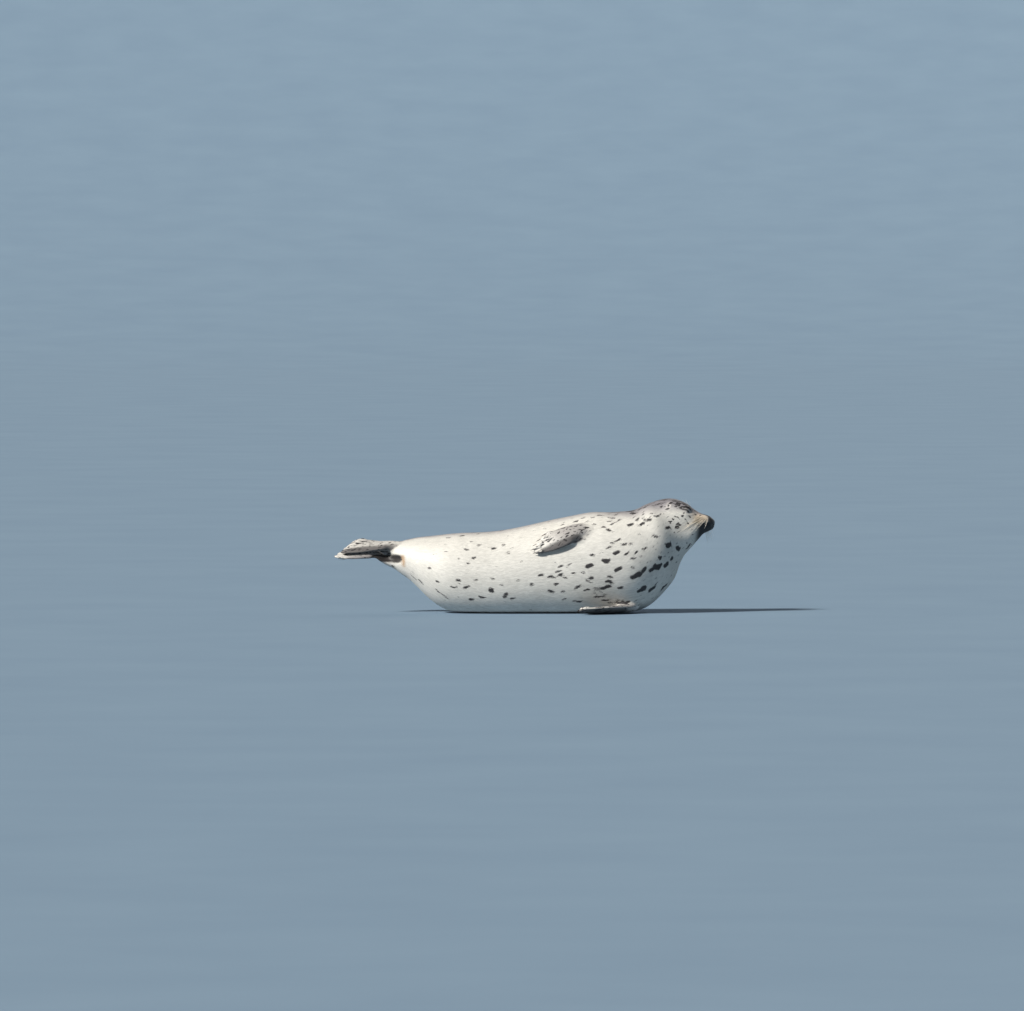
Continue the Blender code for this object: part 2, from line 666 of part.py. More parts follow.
def build_claws(name, blade, spot, claw, outer, finish, collection, blade_tool):
    """Five claws on a flipper's outer side, trimmed where they leave their digits."""
    length, radius, setback, rise, curl = claw
    for number, across in enumerate(DIGIT_PLACES, 1):
        start = blade["length"] * blade_reach(blade, across) - setback
        part = start / blade["length"]
        width = across * blade_half(blade, "half_widths", part)
        height = CLAW_SEAT * blade_half(blade, "half_thicknesses", part)
        path = []
        for step in CLAW_RINGS:
            off = height + length * (rise * step - curl * step * step)
            path.append(spot(start + length * step, width, outer * off))
        rings = []
        for i, centre in enumerate(path):
            forward = unit(path[min(i + 1, len(path) - 1)] - path[max(i - 1, 0)])
            side = unit(np.cross(forward, spot(start, width, outer * length) - spot(start, width, 0.0)))
            over = np.cross(side, forward)
            size = radius * (1.0 - CLAW_TAPER * CLAW_RINGS[i] ** CLAW_TAPER_POWER)
            turn = [2.0 * math.pi * k / CLAW_CORNERS for k in range(CLAW_CORNERS)]
            rings.append([centre + size * (CLAW_FLATNESS * math.cos(t) * side + math.sin(t) * over)
                          for t in turn])
        solid = lofted("%s_%d" % (name, number), rings, finish, collection)
        cut(solid, blade_tool)


def build_limbs(finishes, collection, tools, body):
    """Flippers with their claws, and the tail."""
    near = (0.0, -1.0, 0.0)
    up = (0.0, 0.0, 1.0)
    fore_right = flank_map(FORE_RIGHT_ROOT, FORE_RIGHT_TURNS, FORE_RIGHT_LIFTS, FORE["length"])
    fore_left = free_map(FORE_LEFT_LINE, FORE_LEFT_LEANS, near, up)
    hind_right = free_map(HIND_RIGHT_LINE, HIND_LEANS, near, up)
    hind_left = free_map(HIND_LEFT_LINE, HIND_LEANS, near, up)
    tail = free_map(TAIL_LINE, (0.0,) * len(TAIL_LINE), up, near)
    build_blade("tail", TAIL, tail, finishes["coat"], collection, tools, body)
    limbs = (
        ("fore", "right", FORE, fore_right, FORE_CLAW, 1.0, False),
        ("fore", "left", FORE, fore_left, FORE_CLAW, 1.0, True),
        ("hind", "right", HIND_RIGHT, hind_right, HIND_CLAW, 1.0, False),
        ("hind", "left", HIND_LEFT, hind_left, HIND_CLAW, -1.0, False),
    )
    blade_tools = {}
    for end, side, blade, spot, claw, outer, floor in limbs:
        name = "%s_flipper_%s" % (end, side)
        tool = build_blade(name, blade, spot, finishes["flipper"], collection, tools, body, floor)
        blade_tools[name] = tool
        build_claws("claw_%s_%s" % (end, side), blade, spot, claw, outer, finishes["claw"], collection, tool)
    # The soles of the hind flippers are pressed together.
    cut(collection.objects["hind_flipper_left"], blade_tools["hind_flipper_right"])


def main():
    """Clear the scene and build the seal."""
    for thing in list(bpy.data.objects):
        bpy.data.objects.remove(thing)
    collection = bpy.data.collections.new("harbor_seal")
    tools = bpy.data.collections.new("cutting_tools")
    bpy.context.scene.collection.children.link(collection)
    bpy.context.scene.collection.children.link(tools)
    finishes = {
        "coat": material("coat", COAT, 0.75),
        "flipper": material("flipper_coat", COAT_DARK, 0.7),
        "nose": material("nose_skin", SKIN_BLACK, 0.4),
        "claw": material("claw_horn", HORN_DARK, 0.35),
        "eye": material("eye", EYE_DARK, 0.08),
    }
    pieces, body = build_body(finishes, collection, tools)
    build_eyes(pieces["head"], finishes, collection, tools)
    build_limbs(finishes, collection, tools, body)


main()
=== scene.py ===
"""Looks of the harbor seal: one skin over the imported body, a short coat, whiskers and studio.

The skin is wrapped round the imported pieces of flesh, evened out, and given the folds,
lids, nostrils, mouth and markings of the live animal. The coat is made of small flat
tufts that lie back along the body. Metres, +X to the head, -Y the belly side, +Z up.
"""
import itertools
import json
import math

import bmesh
import bpy
import numpy as np
from mathutils import Matrix, Vector
from mathutils.bvhtree import BVHTree

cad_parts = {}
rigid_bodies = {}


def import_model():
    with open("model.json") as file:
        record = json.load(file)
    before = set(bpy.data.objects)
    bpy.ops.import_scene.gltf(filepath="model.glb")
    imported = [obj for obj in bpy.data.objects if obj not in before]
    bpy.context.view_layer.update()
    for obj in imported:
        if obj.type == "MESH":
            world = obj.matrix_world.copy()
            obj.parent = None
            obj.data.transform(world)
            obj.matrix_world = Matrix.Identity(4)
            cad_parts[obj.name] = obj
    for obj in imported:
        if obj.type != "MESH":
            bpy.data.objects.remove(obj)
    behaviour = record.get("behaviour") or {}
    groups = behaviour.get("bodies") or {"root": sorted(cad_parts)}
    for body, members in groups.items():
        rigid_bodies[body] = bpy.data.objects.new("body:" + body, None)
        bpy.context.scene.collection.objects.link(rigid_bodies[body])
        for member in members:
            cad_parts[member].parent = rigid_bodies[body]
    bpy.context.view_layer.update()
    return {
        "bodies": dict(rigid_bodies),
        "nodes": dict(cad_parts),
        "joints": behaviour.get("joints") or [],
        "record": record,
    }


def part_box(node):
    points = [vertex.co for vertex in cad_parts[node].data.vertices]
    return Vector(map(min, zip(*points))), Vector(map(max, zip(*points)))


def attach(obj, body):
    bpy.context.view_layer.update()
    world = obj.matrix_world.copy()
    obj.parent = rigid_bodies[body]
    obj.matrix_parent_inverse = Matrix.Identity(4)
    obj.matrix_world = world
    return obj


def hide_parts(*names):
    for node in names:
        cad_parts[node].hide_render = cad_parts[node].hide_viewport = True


TRUNK = ("hips", "abdomen", "chest", "neck", "head", "muzzle", "nose")
LIMBS = ("tail", "fore_flipper_right", "fore_flipper_left",
         "hind_flipper_right", "hind_flipper_left")
ROUGH_STEP = 0.0050          # between corners of the trunk's form while it is drawn smooth
SKIN_STEP = 0.0028           # between corners of the skin's mesh
TRUNK_ROUNDS = 130           # rounds of evening: of the trunk's form,
BULK_ROUNDS = 70             # of the bulk that this takes away and is given back,
SKIN_ROUNDS = 16             # of the whole skin,
SEAM_ROUNDS = 90             # and of the skin round the limbs' roots
FLIPPER_SEAM = 0.024         # how far round a flipper's root the skin is rounded in
ROOT_REACH = 0.010           # the root's end of a limb is what lies this near the trunk
ROOT_SHARE = 0.30            # and within this share of the limb's length
ROOT_DEPTH = 0.007           # it is carried this far into the trunk
FORE_PAD = 0.0050            # size of the soft pad round a fore claw's root
HIND_PAD = 0.0041            # and round a hind claw's
PAD_STEPS = (-0.002, 0.004, 0.010, 0.017)   # the pads of a digit lie this far behind that root
PAD_GROWTH = 0.10            # and grow by this share of that distance
DIGIT_WIDTH = 0.115          # a digit's ridge as a share of the spread from first to last claw
LIMB_MARGIN = 0.03           # corners this near a limb's box may belong to it,
LIMB_SEARCH = 0.06           # its surface is looked for this far off,
LIMB_SKIN = 0.006            # and its own corners lie within this distance of it
FLOOR_CLEAR = 0.0012         # the skin stays this far above the floor

# The body's middle line, from the rump to the nose, and the roll of the back away from
# upright: at 90 the belly would face straight towards -Y.
# name          x       y      z      roll
MIDLINE = (
    ("rump", -0.503, 0.004, 0.213, 79),
    ("hips", -0.425, 0.002, 0.206, 79),
    ("loin", -0.305, 0.000, 0.164, 79),
    ("flank", -0.110, 0.000, 0.142, 79),
    ("ribs", 0.160, 0.000, 0.167, 79),
    ("chest", 0.305, 0.002, 0.187, 76),
    ("shoulder", 0.389, 0.004, 0.207, 72),
    ("neck", 0.460, 0.001, 0.262, 64),
    ("nape", 0.520, -0.003, 0.325, 47),
    ("crown", 0.580, -0.006, 0.350, 34),
    ("snout", 0.645, -0.008, 0.343, 32),
    ("nose", 0.706, -0.009, 0.333, 32),
)
MIDLINE_SAMPLES = 220
CHUNK = 40000                # points compared with the middle line at a time

# The head's own axes, as in the solids.
HEAD_POINT = (0.7060, -0.009, 0.3330)    # the tip of the nose
HEAD_PITCH = -9.0
HEAD_ROLL = 32.0
HEAD_YAW = 4.0
HEAD_LENGTH = 0.24                       # depth behind the nose where the head ends


# ---- small helpers

def unit(vectors):
    """The same directions with length one."""
    lengths = np.linalg.norm(vectors, axis=-1, keepdims=True)
    return vectors / np.maximum(lengths, 1e-9)


def fade(values, start, end):
    """Smooth step from 0 at start to 1 at end."""
    share = np.clip((np.asarray(values, float) - start) / (end - start), 0.0, 1.0)
    return share * share * (3.0 - 2.0 * share)


def bump(values, middle, reach):
    """A rounded bump of height one about a middle."""
    return np.exp(-0.5 * ((values - middle) / reach) ** 2)


def fall(values, start, end):
    """Smooth step from 1 at start to 0 at end."""
    return 1.0 - fade(values, start, end)


def head_axes():
    """Forward, right and dorsal axes of the head."""
    turn = (Matrix.Rotation(math.radians(-HEAD_YAW), 3, "Z")
            @ Matrix.Rotation(math.radians(-HEAD_PITCH), 3, "Y"))
    forward, near, upward = (np.array(turn @ Vector(axis))
                             for axis in ((1.0, 0.0, 0.0), (0.0, -1.0, 0.0), (0.0, 0.0, 1.0)))
    angle = math.radians(HEAD_ROLL)
    right = math.cos(angle) * near + math.sin(angle) * upward
    dorsal = math.cos(angle) * upward - math.sin(angle) * near
    return forward, right, dorsal


HEAD_AXES = head_axes()


def in_head(points):
    """Depth behind the nose, distance out to the right and height of each point."""
    forward, right, dorsal = HEAD_AXES
    offset = points - np.array(HEAD_POINT)
    return -offset @ forward, offset @ right, offset @ dorsal


def smooth_line(rows, count):
    """Even samples of a smooth curve through the rows."""
    at = np.linspace(0.0, len(rows) - 1.0, count)
    left = np.minimum(at.astype(int), len(rows) - 2)
    part = (at - left)[:, None]
    padded = np.vstack((2 * rows[:1] - rows[1:2], rows, 2 * rows[-1:] - rows[-2:-1]))
    before, start, end, after = (padded[left + k] for k in range(4))
    square = (2 * before - 5 * start + 4 * end - after) * part ** 2
    cube = (3 * start - before - 3 * end + after) * part ** 3
    return 0.5 * (2 * start + (end - before) * part + square + cube)


class Anatomy:
    """Reads places on the posed body as if the body lay straight."""

    def __init__(self):
        rows = smooth_line(np.array([row[1:] for row in MIDLINE], float), MIDLINE_SAMPLES)
        self.middle = rows[:, :3]
        self.forward = unit(np.gradient(self.middle, axis=0))
        steps = np.linalg.norm(np.diff(self.middle, axis=0), axis=1)
        self.place = np.concatenate(([0.0], np.cumsum(steps)))
        roll = np.radians(rows[:, 3])[:, None]
        near = np.array([[0.0, -1.0, 0.0]])
        near = unit(near - (near * self.forward).sum(1, keepdims=True) * self.forward)
        upward = np.cross(near, self.forward)
        upward *= np.sign(upward[:, 2:])
        self.right = np.cos(roll) * near + np.sin(roll) * upward
        self.dorsal = np.cos(roll) * upward - np.sin(roll) * near

    def nearest(self, points):
        """Number of the middle line's sample closest to each point."""
        size = (self.middle ** 2).sum(axis=1)
        closest = [(size - 2.0 * points[start:start + CHUNK] @ self.middle.T).argmin(axis=1)
                   for start in range(0, len(points), CHUNK)]
        return np.concatenate(closest)

    def read(self, points):
        """Place along the straightened body, distances to its right and back, and the sample."""
        index = self.nearest(points)
        offset = points - self.middle[index]
        ahead, right, dorsal = ((offset * axes[index]).sum(axis=1)
                                for axes in (self.forward, self.right, self.dorsal))
        return self.place[index] + ahead, right, dorsal, index


# ---- the skin's shape

def flesh_form(frame, names):
    """The named solids as one mesh with its shared corners joined."""
    sculpt = bmesh.new()
    for name in names:
        sculpt.from_mesh(frame["nodes"][name].data)
    bmesh.ops.remove_doubles(sculpt, verts=sculpt.verts, dist=0.00001)
    return sculpt


def wrapped(sculpt, spacing):
    """One closed skin of even squares round everything in the mesh."""
    mesh = bpy.data.meshes.new("flesh_form")
    sculpt.to_mesh(mesh)
    sculpt.free()
    form = bpy.data.objects.new("flesh_form", mesh)
    bpy.context.scene.collection.objects.link(form)
    step = form.modifiers.new("wrap", "REMESH")
    step.mode = "VOXEL"
    step.voxel_size = spacing
    graph = bpy.context.evaluated_depsgraph_get()
    skin = bpy.data.meshes.new_from_object(form.evaluated_get(graph), depsgraph=graph)
    bpy.data.objects.remove(form)
    return skin


def read_all(items, field, width=3, kind=float):
    """One field of all of a mesh's items, as rows."""
    values = np.zeros(len(items) * width, kind)
    items.foreach_get(field, values)
    return values.reshape(-1, width)


def corners_of(mesh):
    """The mesh's corners as an array."""
    return read_all(mesh.vertices, "co")


def edges_of(mesh):
    """The mesh's edges as pairs of corner numbers."""
    return read_all(mesh.edges, "vertices", 2, np.int64)


def move_corners(mesh, points):
    """Put the mesh's corners at these places."""
    mesh.vertices.foreach_set("co", points.astype(np.float32).ravel())


def normals_of(mesh, points):
    """Outward directions at the corners, for these places of them."""
    move_corners(mesh, points)
    mesh.update()
    return read_all(mesh.vertex_normals, "vector")


def evened(values, edges, weights, rounds):
    """Values drawn towards the mean of their neighbours, by one weight or each by its own."""
    count = len(values)
    start, end = edges.T
    degree = np.maximum(np.bincount(edges.ravel(), minlength=count), 1)
    pull = (weights / degree)[:, None]
    for _ in range(rounds):
        total = np.stack([np.bincount(start, column[end], count)
                          + np.bincount(end, column[start], count)
                          for column in values.T], axis=1)
        values = values + pull * (total - degree[:, None] * values)
    return values


def outer_shell(mesh):
    """Drop the closed hollows that the wrap leaves between solids."""
    sculpt = bmesh.new()
    sculpt.from_mesh(mesh)
    unseen = set(sculpt.verts)
    shells = []
    while unseen:
        shell = [unseen.pop()]
        for vertex in shell:
            for edge in vertex.link_edges:
                other = edge.other_vert(vertex)
                if other in unseen:
                    unseen.remove(other)
                    shell.append(other)
        shells.append(shell)
    shells.sort(key=len)
    for shell in shells[:-1]:
        bmesh.ops.delete(sculpt, geom=shell, context="VERTS")
    sculpt.to_mesh(mesh)
    sculpt.free()
    return mesh


def refined(mesh, wanted):
    """Cut the squares in half where wanted says so of their corners."""
    sculpt = bmesh.new()
    sculpt.from_mesh(mesh)
    sculpt.verts.ensure_lookup_table()
    chosen = wanted(corners_of(mesh))
    edges = [edge for edge in sculpt.edges
             if chosen[edge.verts[0].index] and chosen[edge.verts[1].index]]
    bmesh.ops.subdivide_edges(sculpt, edges=edges, cuts=1, use_grid_fill=True)
    sculpt.to_mesh(mesh)
    sculpt.free()
    return mesh


def nearest_distances(tree, points, chosen, reach):
    """Distance from the chosen points to a shape, or reach where it is farther."""
    found = np.full(len(points), reach)
    for index in np.nonzero(chosen)[0]:
        hit = tree.find_nearest(points[index], reach)
        if hit[0] is not None:
            found[index] = hit[3]
    return found


class Limb:
    """A flipper or the tail: its shape, its run from root to tip, and its digits."""

    def __init__(self, frame, name):
        sculpt = flesh_form(frame, (name,))
        self.name = name
        self.tree = BVHTree.FromBMesh(sculpt)
        points = np.array([vertex.co for vertex in sculpt.verts])
        sculpt.free()
        self.low, self.high = points.min(axis=0), points.max(axis=0)
        middle = points.mean(axis=0)
        spread = np.linalg.svd(points - middle, full_matrices=False)[2]
        self.along, self.across, self.normal = spread
        rearward = np.array((-1.0, 0.0, 0.0))
        if self.along @ rearward < 0.0:
            self.along = -self.along
        reach = (points - middle) @ self.along
        self.root = middle + reach.min() * self.along
        self.length = reach.max() - reach.min()
        self.tips = []
        self.pads = []
        if name != "tail":
            self.find_digits(frame)

    def find_digits(self, frame):
        """The claws' middles, and the row of soft pads that holds each claw's root."""
        claws = self.name.replace("_flipper_", "_")
        size = FORE_PAD if self.name.startswith("fore") else HIND_PAD
        for digit in range(1, 6):
            claw = corners_of(frame["nodes"]["claw_%s_%d" % (claws, digit)].data)
            claw = claw[np.linalg.norm(claw - self.root, axis=1).argsort()]
            base = claw[:len(claw) // 3].mean(axis=0)
            back = unit(base - claw[-1])
            self.tips.append(claw.mean(axis=0))
            self.pads += [(base + step * back, size + PAD_GROWTH * step) for step in PAD_STEPS]
        if self.across @ (self.tips[0] - self.tips[-1]) < 0.0:
            self.across = -self.across
        spread = abs((self.tips[0] - self.tips[-1]) @ self.across)
        self.digit_width = DIGIT_WIDTH * spread

    def share_along(self, points):
        """Share of the limb's length from its root at each point."""
        return (points - self.root) @ self.along / self.length

    def above(self, points):
        """Height of each point over the limb's middle, measured across the limb."""
        return (points - self.root) @ (self.across * np.sign(self.across[2]))

    def melt(self, points):
        """How far the limb melts into the trunk: all of it at the root, and its upper edge."""
        root = 1.0 - 0.9 * fade(self.share_along(points), 0.22, 0.50)
        return np.maximum(root, 0.6 * fade(self.above(points), 0.0, 0.015))

    def near(self, points, margin):
        """Which points lie in the limb's box or within a margin of it."""
        return ((points > self.low - margin) & (points < self.high + margin)).all(axis=1)


def label_limbs(points, limbs, trunk_tree):
    """For each point the number of its limb, or -1 on the trunk, and how near a seam it lies."""
    owner = np.full(len(points), -1)
    seam = np.zeros(len(points))
    boxes = [limb.near(points, LIMB_MARGIN) for limb in limbs]
    to_trunk = nearest_distances(trunk_tree, points, np.any(boxes, axis=0), LIMB_SEARCH)
    for number, (limb, here) in enumerate(zip(limbs, boxes)):
        distance = nearest_distances(limb.tree, points, here, LIMB_SEARCH)
        owner[here & (distance < to_trunk) & (distance < LIMB_SKIN)] = number
        close = np.exp(-0.5 * ((distance + to_trunk) / FLIPPER_SEAM) ** 2)
        seam = np.maximum(seam, close * limb.melt(points))
    return owner, seam


# ---- forms modelled into the skin

EYE_FACING = (0.24, 0.90, 0.36)          # forward, outward and up
SLIT_TILT = -5.0                         # the eye's slit drops this much towards the nose
SLIT_HALF_LENGTH = 0.0172
SLIT_HALF_HEIGHT = 0.0026
LID_THICKNESS = 0.0013
LID_REACH = 0.034                        # the lids' skin ends this far round the eye
LID_BLEND = 0.005                        # and runs out into the head over this much
LID_FOLDS = ((0.0075, 0.0010), (-0.0060, 0.0010), (-0.0115, 0.0008))  # height, depth
LID_TUCK = 0.0016                        # inside the slit the skin lies this deep in the eyeball
EAR = (0.176, 0.004)                     # depth and height in the head's axes
NOSTRIL = ((0.0035, -0.0090), (0.0115, 0.0035))      # out and height of its two ends
NOSE_CREASE = ((0.0175, 0.006), (0.0095, -0.0165))   # likewise for the crease beside the nose
WHISKER_ROW_STEP = 0.0048                # between the rows of whiskers
WHISKER_COLUMN_STEP = 0.0058             # and between the whiskers of a row
MOUTH_CORNER = 0.078                     # depth of the corner of the mouth
BARE_NOSE = 0.019                        # depth of the bare skin on the nose
HIND_FOLD = ((-0.560, 0.205), (-0.468, 0.203))    # x and z of the fold's two ends
STAIN = ((-0.452, 0.212), (-0.448, 0.178))        # x and z of the stain's two ends


class Eye:
    """Where one eye sits and faces, and how its lids lie over it."""

    def __init__(self, name, side):
        low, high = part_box(name)
        forward, right, dorsal = HEAD_AXES
        self.centre = (np.array(low) + np.array(high)) / 2.0
        self.radius = max(high - low) / 2.0
        ahead, outward, up = EYE_FACING
        self.face = unit(ahead * forward + side * outward * right + up * dorsal)
        tilt = math.radians(SLIT_TILT)
        along = math.cos(tilt) * forward - math.sin(tilt) * dorsal
        self.along = unit(along - (along @ self.face) * self.face)
        self.up = np.cross(self.face, self.along)
        self.up *= np.sign(self.up @ dorsal)

    def read(self, points):
        """Distance along the slit, above it and out of the head, and the slit's half height."""
        offset = points - self.centre
        along, above, out = offset @ self.along, offset @ self.up, offset @ self.face
        share = np.clip(1.0 - (along / SLIT_HALF_LENGTH) ** 2, 0.0, 1.0)
        return along, above, out, SLIT_HALF_HEIGHT * share ** 0.7 + 1e-5

    def near(self, points, reach):
        """Which points lie round the eye on the outside of the head."""
        along, above, out, _ = self.read(points)
        return (out > 0.0) & (np.hypot(along, above) < reach)

    def lidded(self, points):
        """Skin drawn over the eyeball, open along the slit, with folds above and below."""
        chosen = self.near(points, LID_REACH)
        along, above, out, half = self.read(points[chosen])
        opened = np.abs(above) / half
        crisp = np.where((opened > 0.6) & (opened <= 1.0), 0.97, opened)
        crisp = np.where((opened > 1.0) & (opened < 1.4), 1.06, crisp)
        slit = half > 0.25 * SLIT_HALF_HEIGHT
        above = np.where(slit, np.sign(above) * crisp * half, above)
        across = along ** 2 + above ** 2
        dome = np.sqrt(np.maximum((self.radius + LID_THICKNESS) ** 2 - across, 0.0))
        overlap = np.maximum(LID_BLEND - np.abs(out - dome), 0.0) / LID_BLEND
        lid = np.maximum(out, dome) + 0.25 * LID_BLEND * overlap ** 2
        reach = bump(along, 0.0, 0.012)
        for height, depth in LID_FOLDS:
            arc = height * (1.0 - 0.35 * (along / 0.02) ** 2)
            lid -= depth * bump(above, arc, 0.0010) * reach
            lid += 0.6 * depth * bump(above, arc + 0.0022, 0.0014) * reach
        lid += 0.0005 * bump(crisp, 1.6, 0.4) * slit
        under = np.sqrt(np.maximum((self.radius - LID_TUCK) ** 2 - across, 0.0))
        beside = across >= (self.radius - 0.004) ** 2
        under = np.minimum(np.where(beside, lid - 0.002, under), lid)
        shut = fade(crisp, 0.98, 1.05)
        out = shut * lid + (1.0 - shut) * under
        points[chosen] = (self.centre + along[:, None] * self.along
                          + above[:, None] * self.up + out[:, None] * self.face)
        return points

    def wet_hair_and_lid_shade(self, points):
        """The dark wet hair round the slit, and painted shade under the lids and along the fold
        under the eye.
        """
        along, above, _, half = self.read(points)
        line = bump(above, 0.0, 0.0022 + half) * fall(np.abs(along + 0.001), 0.014, 0.026)
        low = -0.0118 - 0.12 * along
        fold = bump(above, low, 0.0024) * fall(np.abs(along + 0.008), 0.014, 0.030)
        return np.minimum(1.25 * np.maximum(line, 0.8 * fold), 1.0) * self.near(points, 0.045)

    def bareness(self, points):
        """One on the wet rims of the lids, fading to nothing on the coat."""
        along, above, _, half = self.read(points)
        rim = fall(np.abs(above) - half, 0.0008, 0.0020)
        rim *= fall(np.abs(along), SLIT_HALF_LENGTH, SLIT_HALF_LENGTH + 0.003)
        return rim * self.near(points, 0.03)


def mouth_height(depth):
    """Height of the mouth's line on the side of the muzzle, by depth behind the nose."""
    return -0.012 - 0.36 * depth + 1.9 * depth ** 2


def to_segment(x, y, start, end):
    """Distance in a plane from each point to a segment."""
    start, end = np.array(start), np.array(end)
    run = end - start
    part = np.clip(((x - start[0]) * run[0] + (y - start[1]) * run[1]) / (run @ run), 0.0, 1.0)
    return np.hypot(x - start[0] - part * run[0], y - start[1] - part * run[1])


def mouth_line(points):
    """How strongly each point lies on the line between the lips."""
    depth, _, height = in_head(points)
    line = bump(height, mouth_height(depth), 0.0012) * fade(depth, -0.004, 0.004)
    return line * fall(depth, MOUTH_CORNER - 0.010, MOUTH_CORNER)


def nostrils(points):
    """How strongly each point lies in one of the two nostrils."""
    depth, out, height = in_head(points)
    away = to_segment(np.abs(out), height, *NOSTRIL)
    return bump(away, 0.0, 0.0013) * fall(depth, 0.010, 0.016)


def from_ear(depth, height):
    """Distance of places on the side of the head from the ear."""
    return np.hypot(depth - EAR[0], height - EAR[1])


def ear_holes(points):
    """Depth of the ear's opening at each point, and of the ring of short hair round it."""
    depth, out, height = in_head(points)
    away = np.hypot((depth - EAR[0]) / 0.8, (height - EAR[1]) / 1.3)
    outside = fade(np.abs(out), 0.045, 0.055)
    return bump(away, 0.0, 0.0034) * outside, bump(away, 0.0085, 0.0032) * outside


def follicles(points):
    """Low beads in rows over the whisker pads, from -1 between them to 1 on top."""
    depth, out, height = in_head(points)
    row = (height + 0.10 * depth) / WHISKER_ROW_STEP
    column = (depth + 0.33 * height) / WHISKER_COLUMN_STEP
    beads = np.cos(2.0 * math.pi * row) * np.cos(2.0 * math.pi * column)
    pad = bump(depth, 0.040, 0.015) * bump(height, -0.010, 0.009)
    return beads * pad * fade(np.abs(out), 0.012, 0.020)


def face_relief(points):
    """How far the fine forms of the face stand out."""
    depth, out, height = in_head(points)
    across = np.abs(out)
    upper_lip = bump(height, mouth_height(depth) + 0.0045, 0.0025)
    upper_lip *= (depth < MOUTH_CORNER) * fall(depth, 0.05, MOUTH_CORNER)
    cleft = bump(out, 0.0, 0.0010) * bump(height, -0.016, 0.006) * (depth < 0.02)
    pad = bump(across, 0.021, 0.010) * bump(height, -0.012, 0.009) * bump(depth, 0.020, 0.016)
    beside_nose = to_segment(across, height, *NOSE_CREASE)
    crease = bump(beside_nose, 0.0, 0.0014) * fall(depth, 0.014, 0.022)
    hole, ring = ear_holes(points)
    relief = (-0.0022 * mouth_line(points) + 0.0010 * upper_lip - 0.0040 * nostrils(points)
              - 0.0012 * cleft + 0.0034 * pad - 0.0016 * crease + 0.0007 * follicles(points)
              - 0.0035 * hole + 0.0004 * ring)
    return relief * (depth > -0.01) * (depth < HEAD_LENGTH)


def hind_fold(points):
    """How deep each point lies in the fold between the hind flippers' roots, sunk into the skin and
    painted with shade.
    """
    away = to_segment(points[:, 0], points[:, 2], *HIND_FOLD)
    far_side = fade(points[:, 1], 0.004, 0.014) * fade(points[:, 0], -0.490, -0.480)
    return bump(away, 0.0, 0.0095) * (1.0 - far_side)


def digit_relief(points, limb):
    """Ridges of height one over the bones of the digits, with the web sunk between them."""
    offset = points - limb.root
    along, across = offset @ limb.along, offset @ limb.across
    relief = np.full(len(points), -0.25)
    for tip in limb.tips:
        tip_along, tip_across = (tip - limb.root) @ limb.along, (tip - limb.root) @ limb.across
        ray = tip_across * np.clip(along / tip_along, 0.15, 1.1)
        relief = np.maximum(relief, 1.25 * bump(across, ray, limb.digit_width) - 0.25)
    return relief * fade(along, 0.30 * limb.length, 0.65 * limb.length)


def smooth_trunk(trunk):
    """The trunk and head as one form, with the creases where solids meet drawn smooth."""
    mesh = wrapped(trunk, ROUGH_STEP)
    points = corners_of(mesh)
    edges = edges_of(mesh)
    depth, _, height = in_head(points)
    chin = bump(depth, 0.052, 0.014) * fall(height, -0.040, -0.024)
    pace = 0.5 * np.maximum(fade(depth, 0.10, 0.15), chin)
    calm = evened(points, edges, pace, TRUNK_ROUNDS)
    normals = normals_of(mesh, calm)
    lost = ((points - calm) * normals).sum(axis=1, keepdims=True)
    kept = evened(lost, edges, 0.5, BULK_ROUNDS)
    move_corners(mesh, np.where(pace[:, None] > 0.0, calm + kept * normals, points))
    return mesh


def rooted(frame, limb, trunk_tree):
    """A limb's solid with the end of its root carried into the trunk."""
    sculpt = flesh_form(frame, (limb.name,))
    for vertex in sculpt.verts:
        spot, facing, _, distance = trunk_tree.find_nearest(vertex.co)
        if distance < ROOT_REACH and limb.share_along(np.array(vertex.co)) < ROOT_SHARE:
            vertex.co = spot - ROOT_DEPTH * facing
    mesh = bpy.data.meshes.new(limb.name + "_rooted")
    sculpt.to_mesh(mesh)
    sculpt.free()
    return mesh


def build_skin_mesh(frame, limbs):
    """The whole skin with its folds and openings, the trunk's surface and the eyes."""
    trunk_mesh = smooth_trunk(flesh_form(frame, TRUNK + ("eye_right", "eye_left")))
    form = bmesh.new()
    form.from_mesh(trunk_mesh)
    trunk_tree = BVHTree.FromBMesh(form)
    for limb in limbs:
        form.from_mesh(rooted(frame, limb, trunk_tree))
        for pad, size in limb.pads:
            bmesh.ops.create_icosphere(form, subdivisions=2, radius=size,
                                       matrix=Matrix.Translation(pad))
    mesh = outer_shell(wrapped(form, SKIN_STEP))
    points = corners_of(mesh)
    edges = edges_of(mesh)
    owner, seam = label_limbs(points, limbs, trunk_tree)
    medium = np.where(owner < 0, 0.5 * fade(in_head(points)[0], 0.03, 0.10), 0.16)
    points = evened(points, edges, medium, SKIN_ROUNDS)
    points = evened(points, edges, 0.55 * fade(seam, 0.15, 0.6), SEAM_ROUNDS)
    move_corners(mesh, points)
    eyes = [Eye("eye_right", 1.0), Eye("eye_left", -1.0)]

    def on_face(places):
        return in_head(places)[0] < 0.150

    def on_features(places):
        depth, out, height = in_head(places)
        chosen = depth < 0.050
        for eye in eyes:
            chosen |= eye.near(places, 0.025)
        return chosen | (from_ear(depth, height) < 0.018) & (np.abs(out) > 0.05)

    mesh = refined(refined(mesh, on_face), on_features)
    mesh.shade_smooth()
    return mesh, trunk_tree, eyes


# ---- the skin's fields

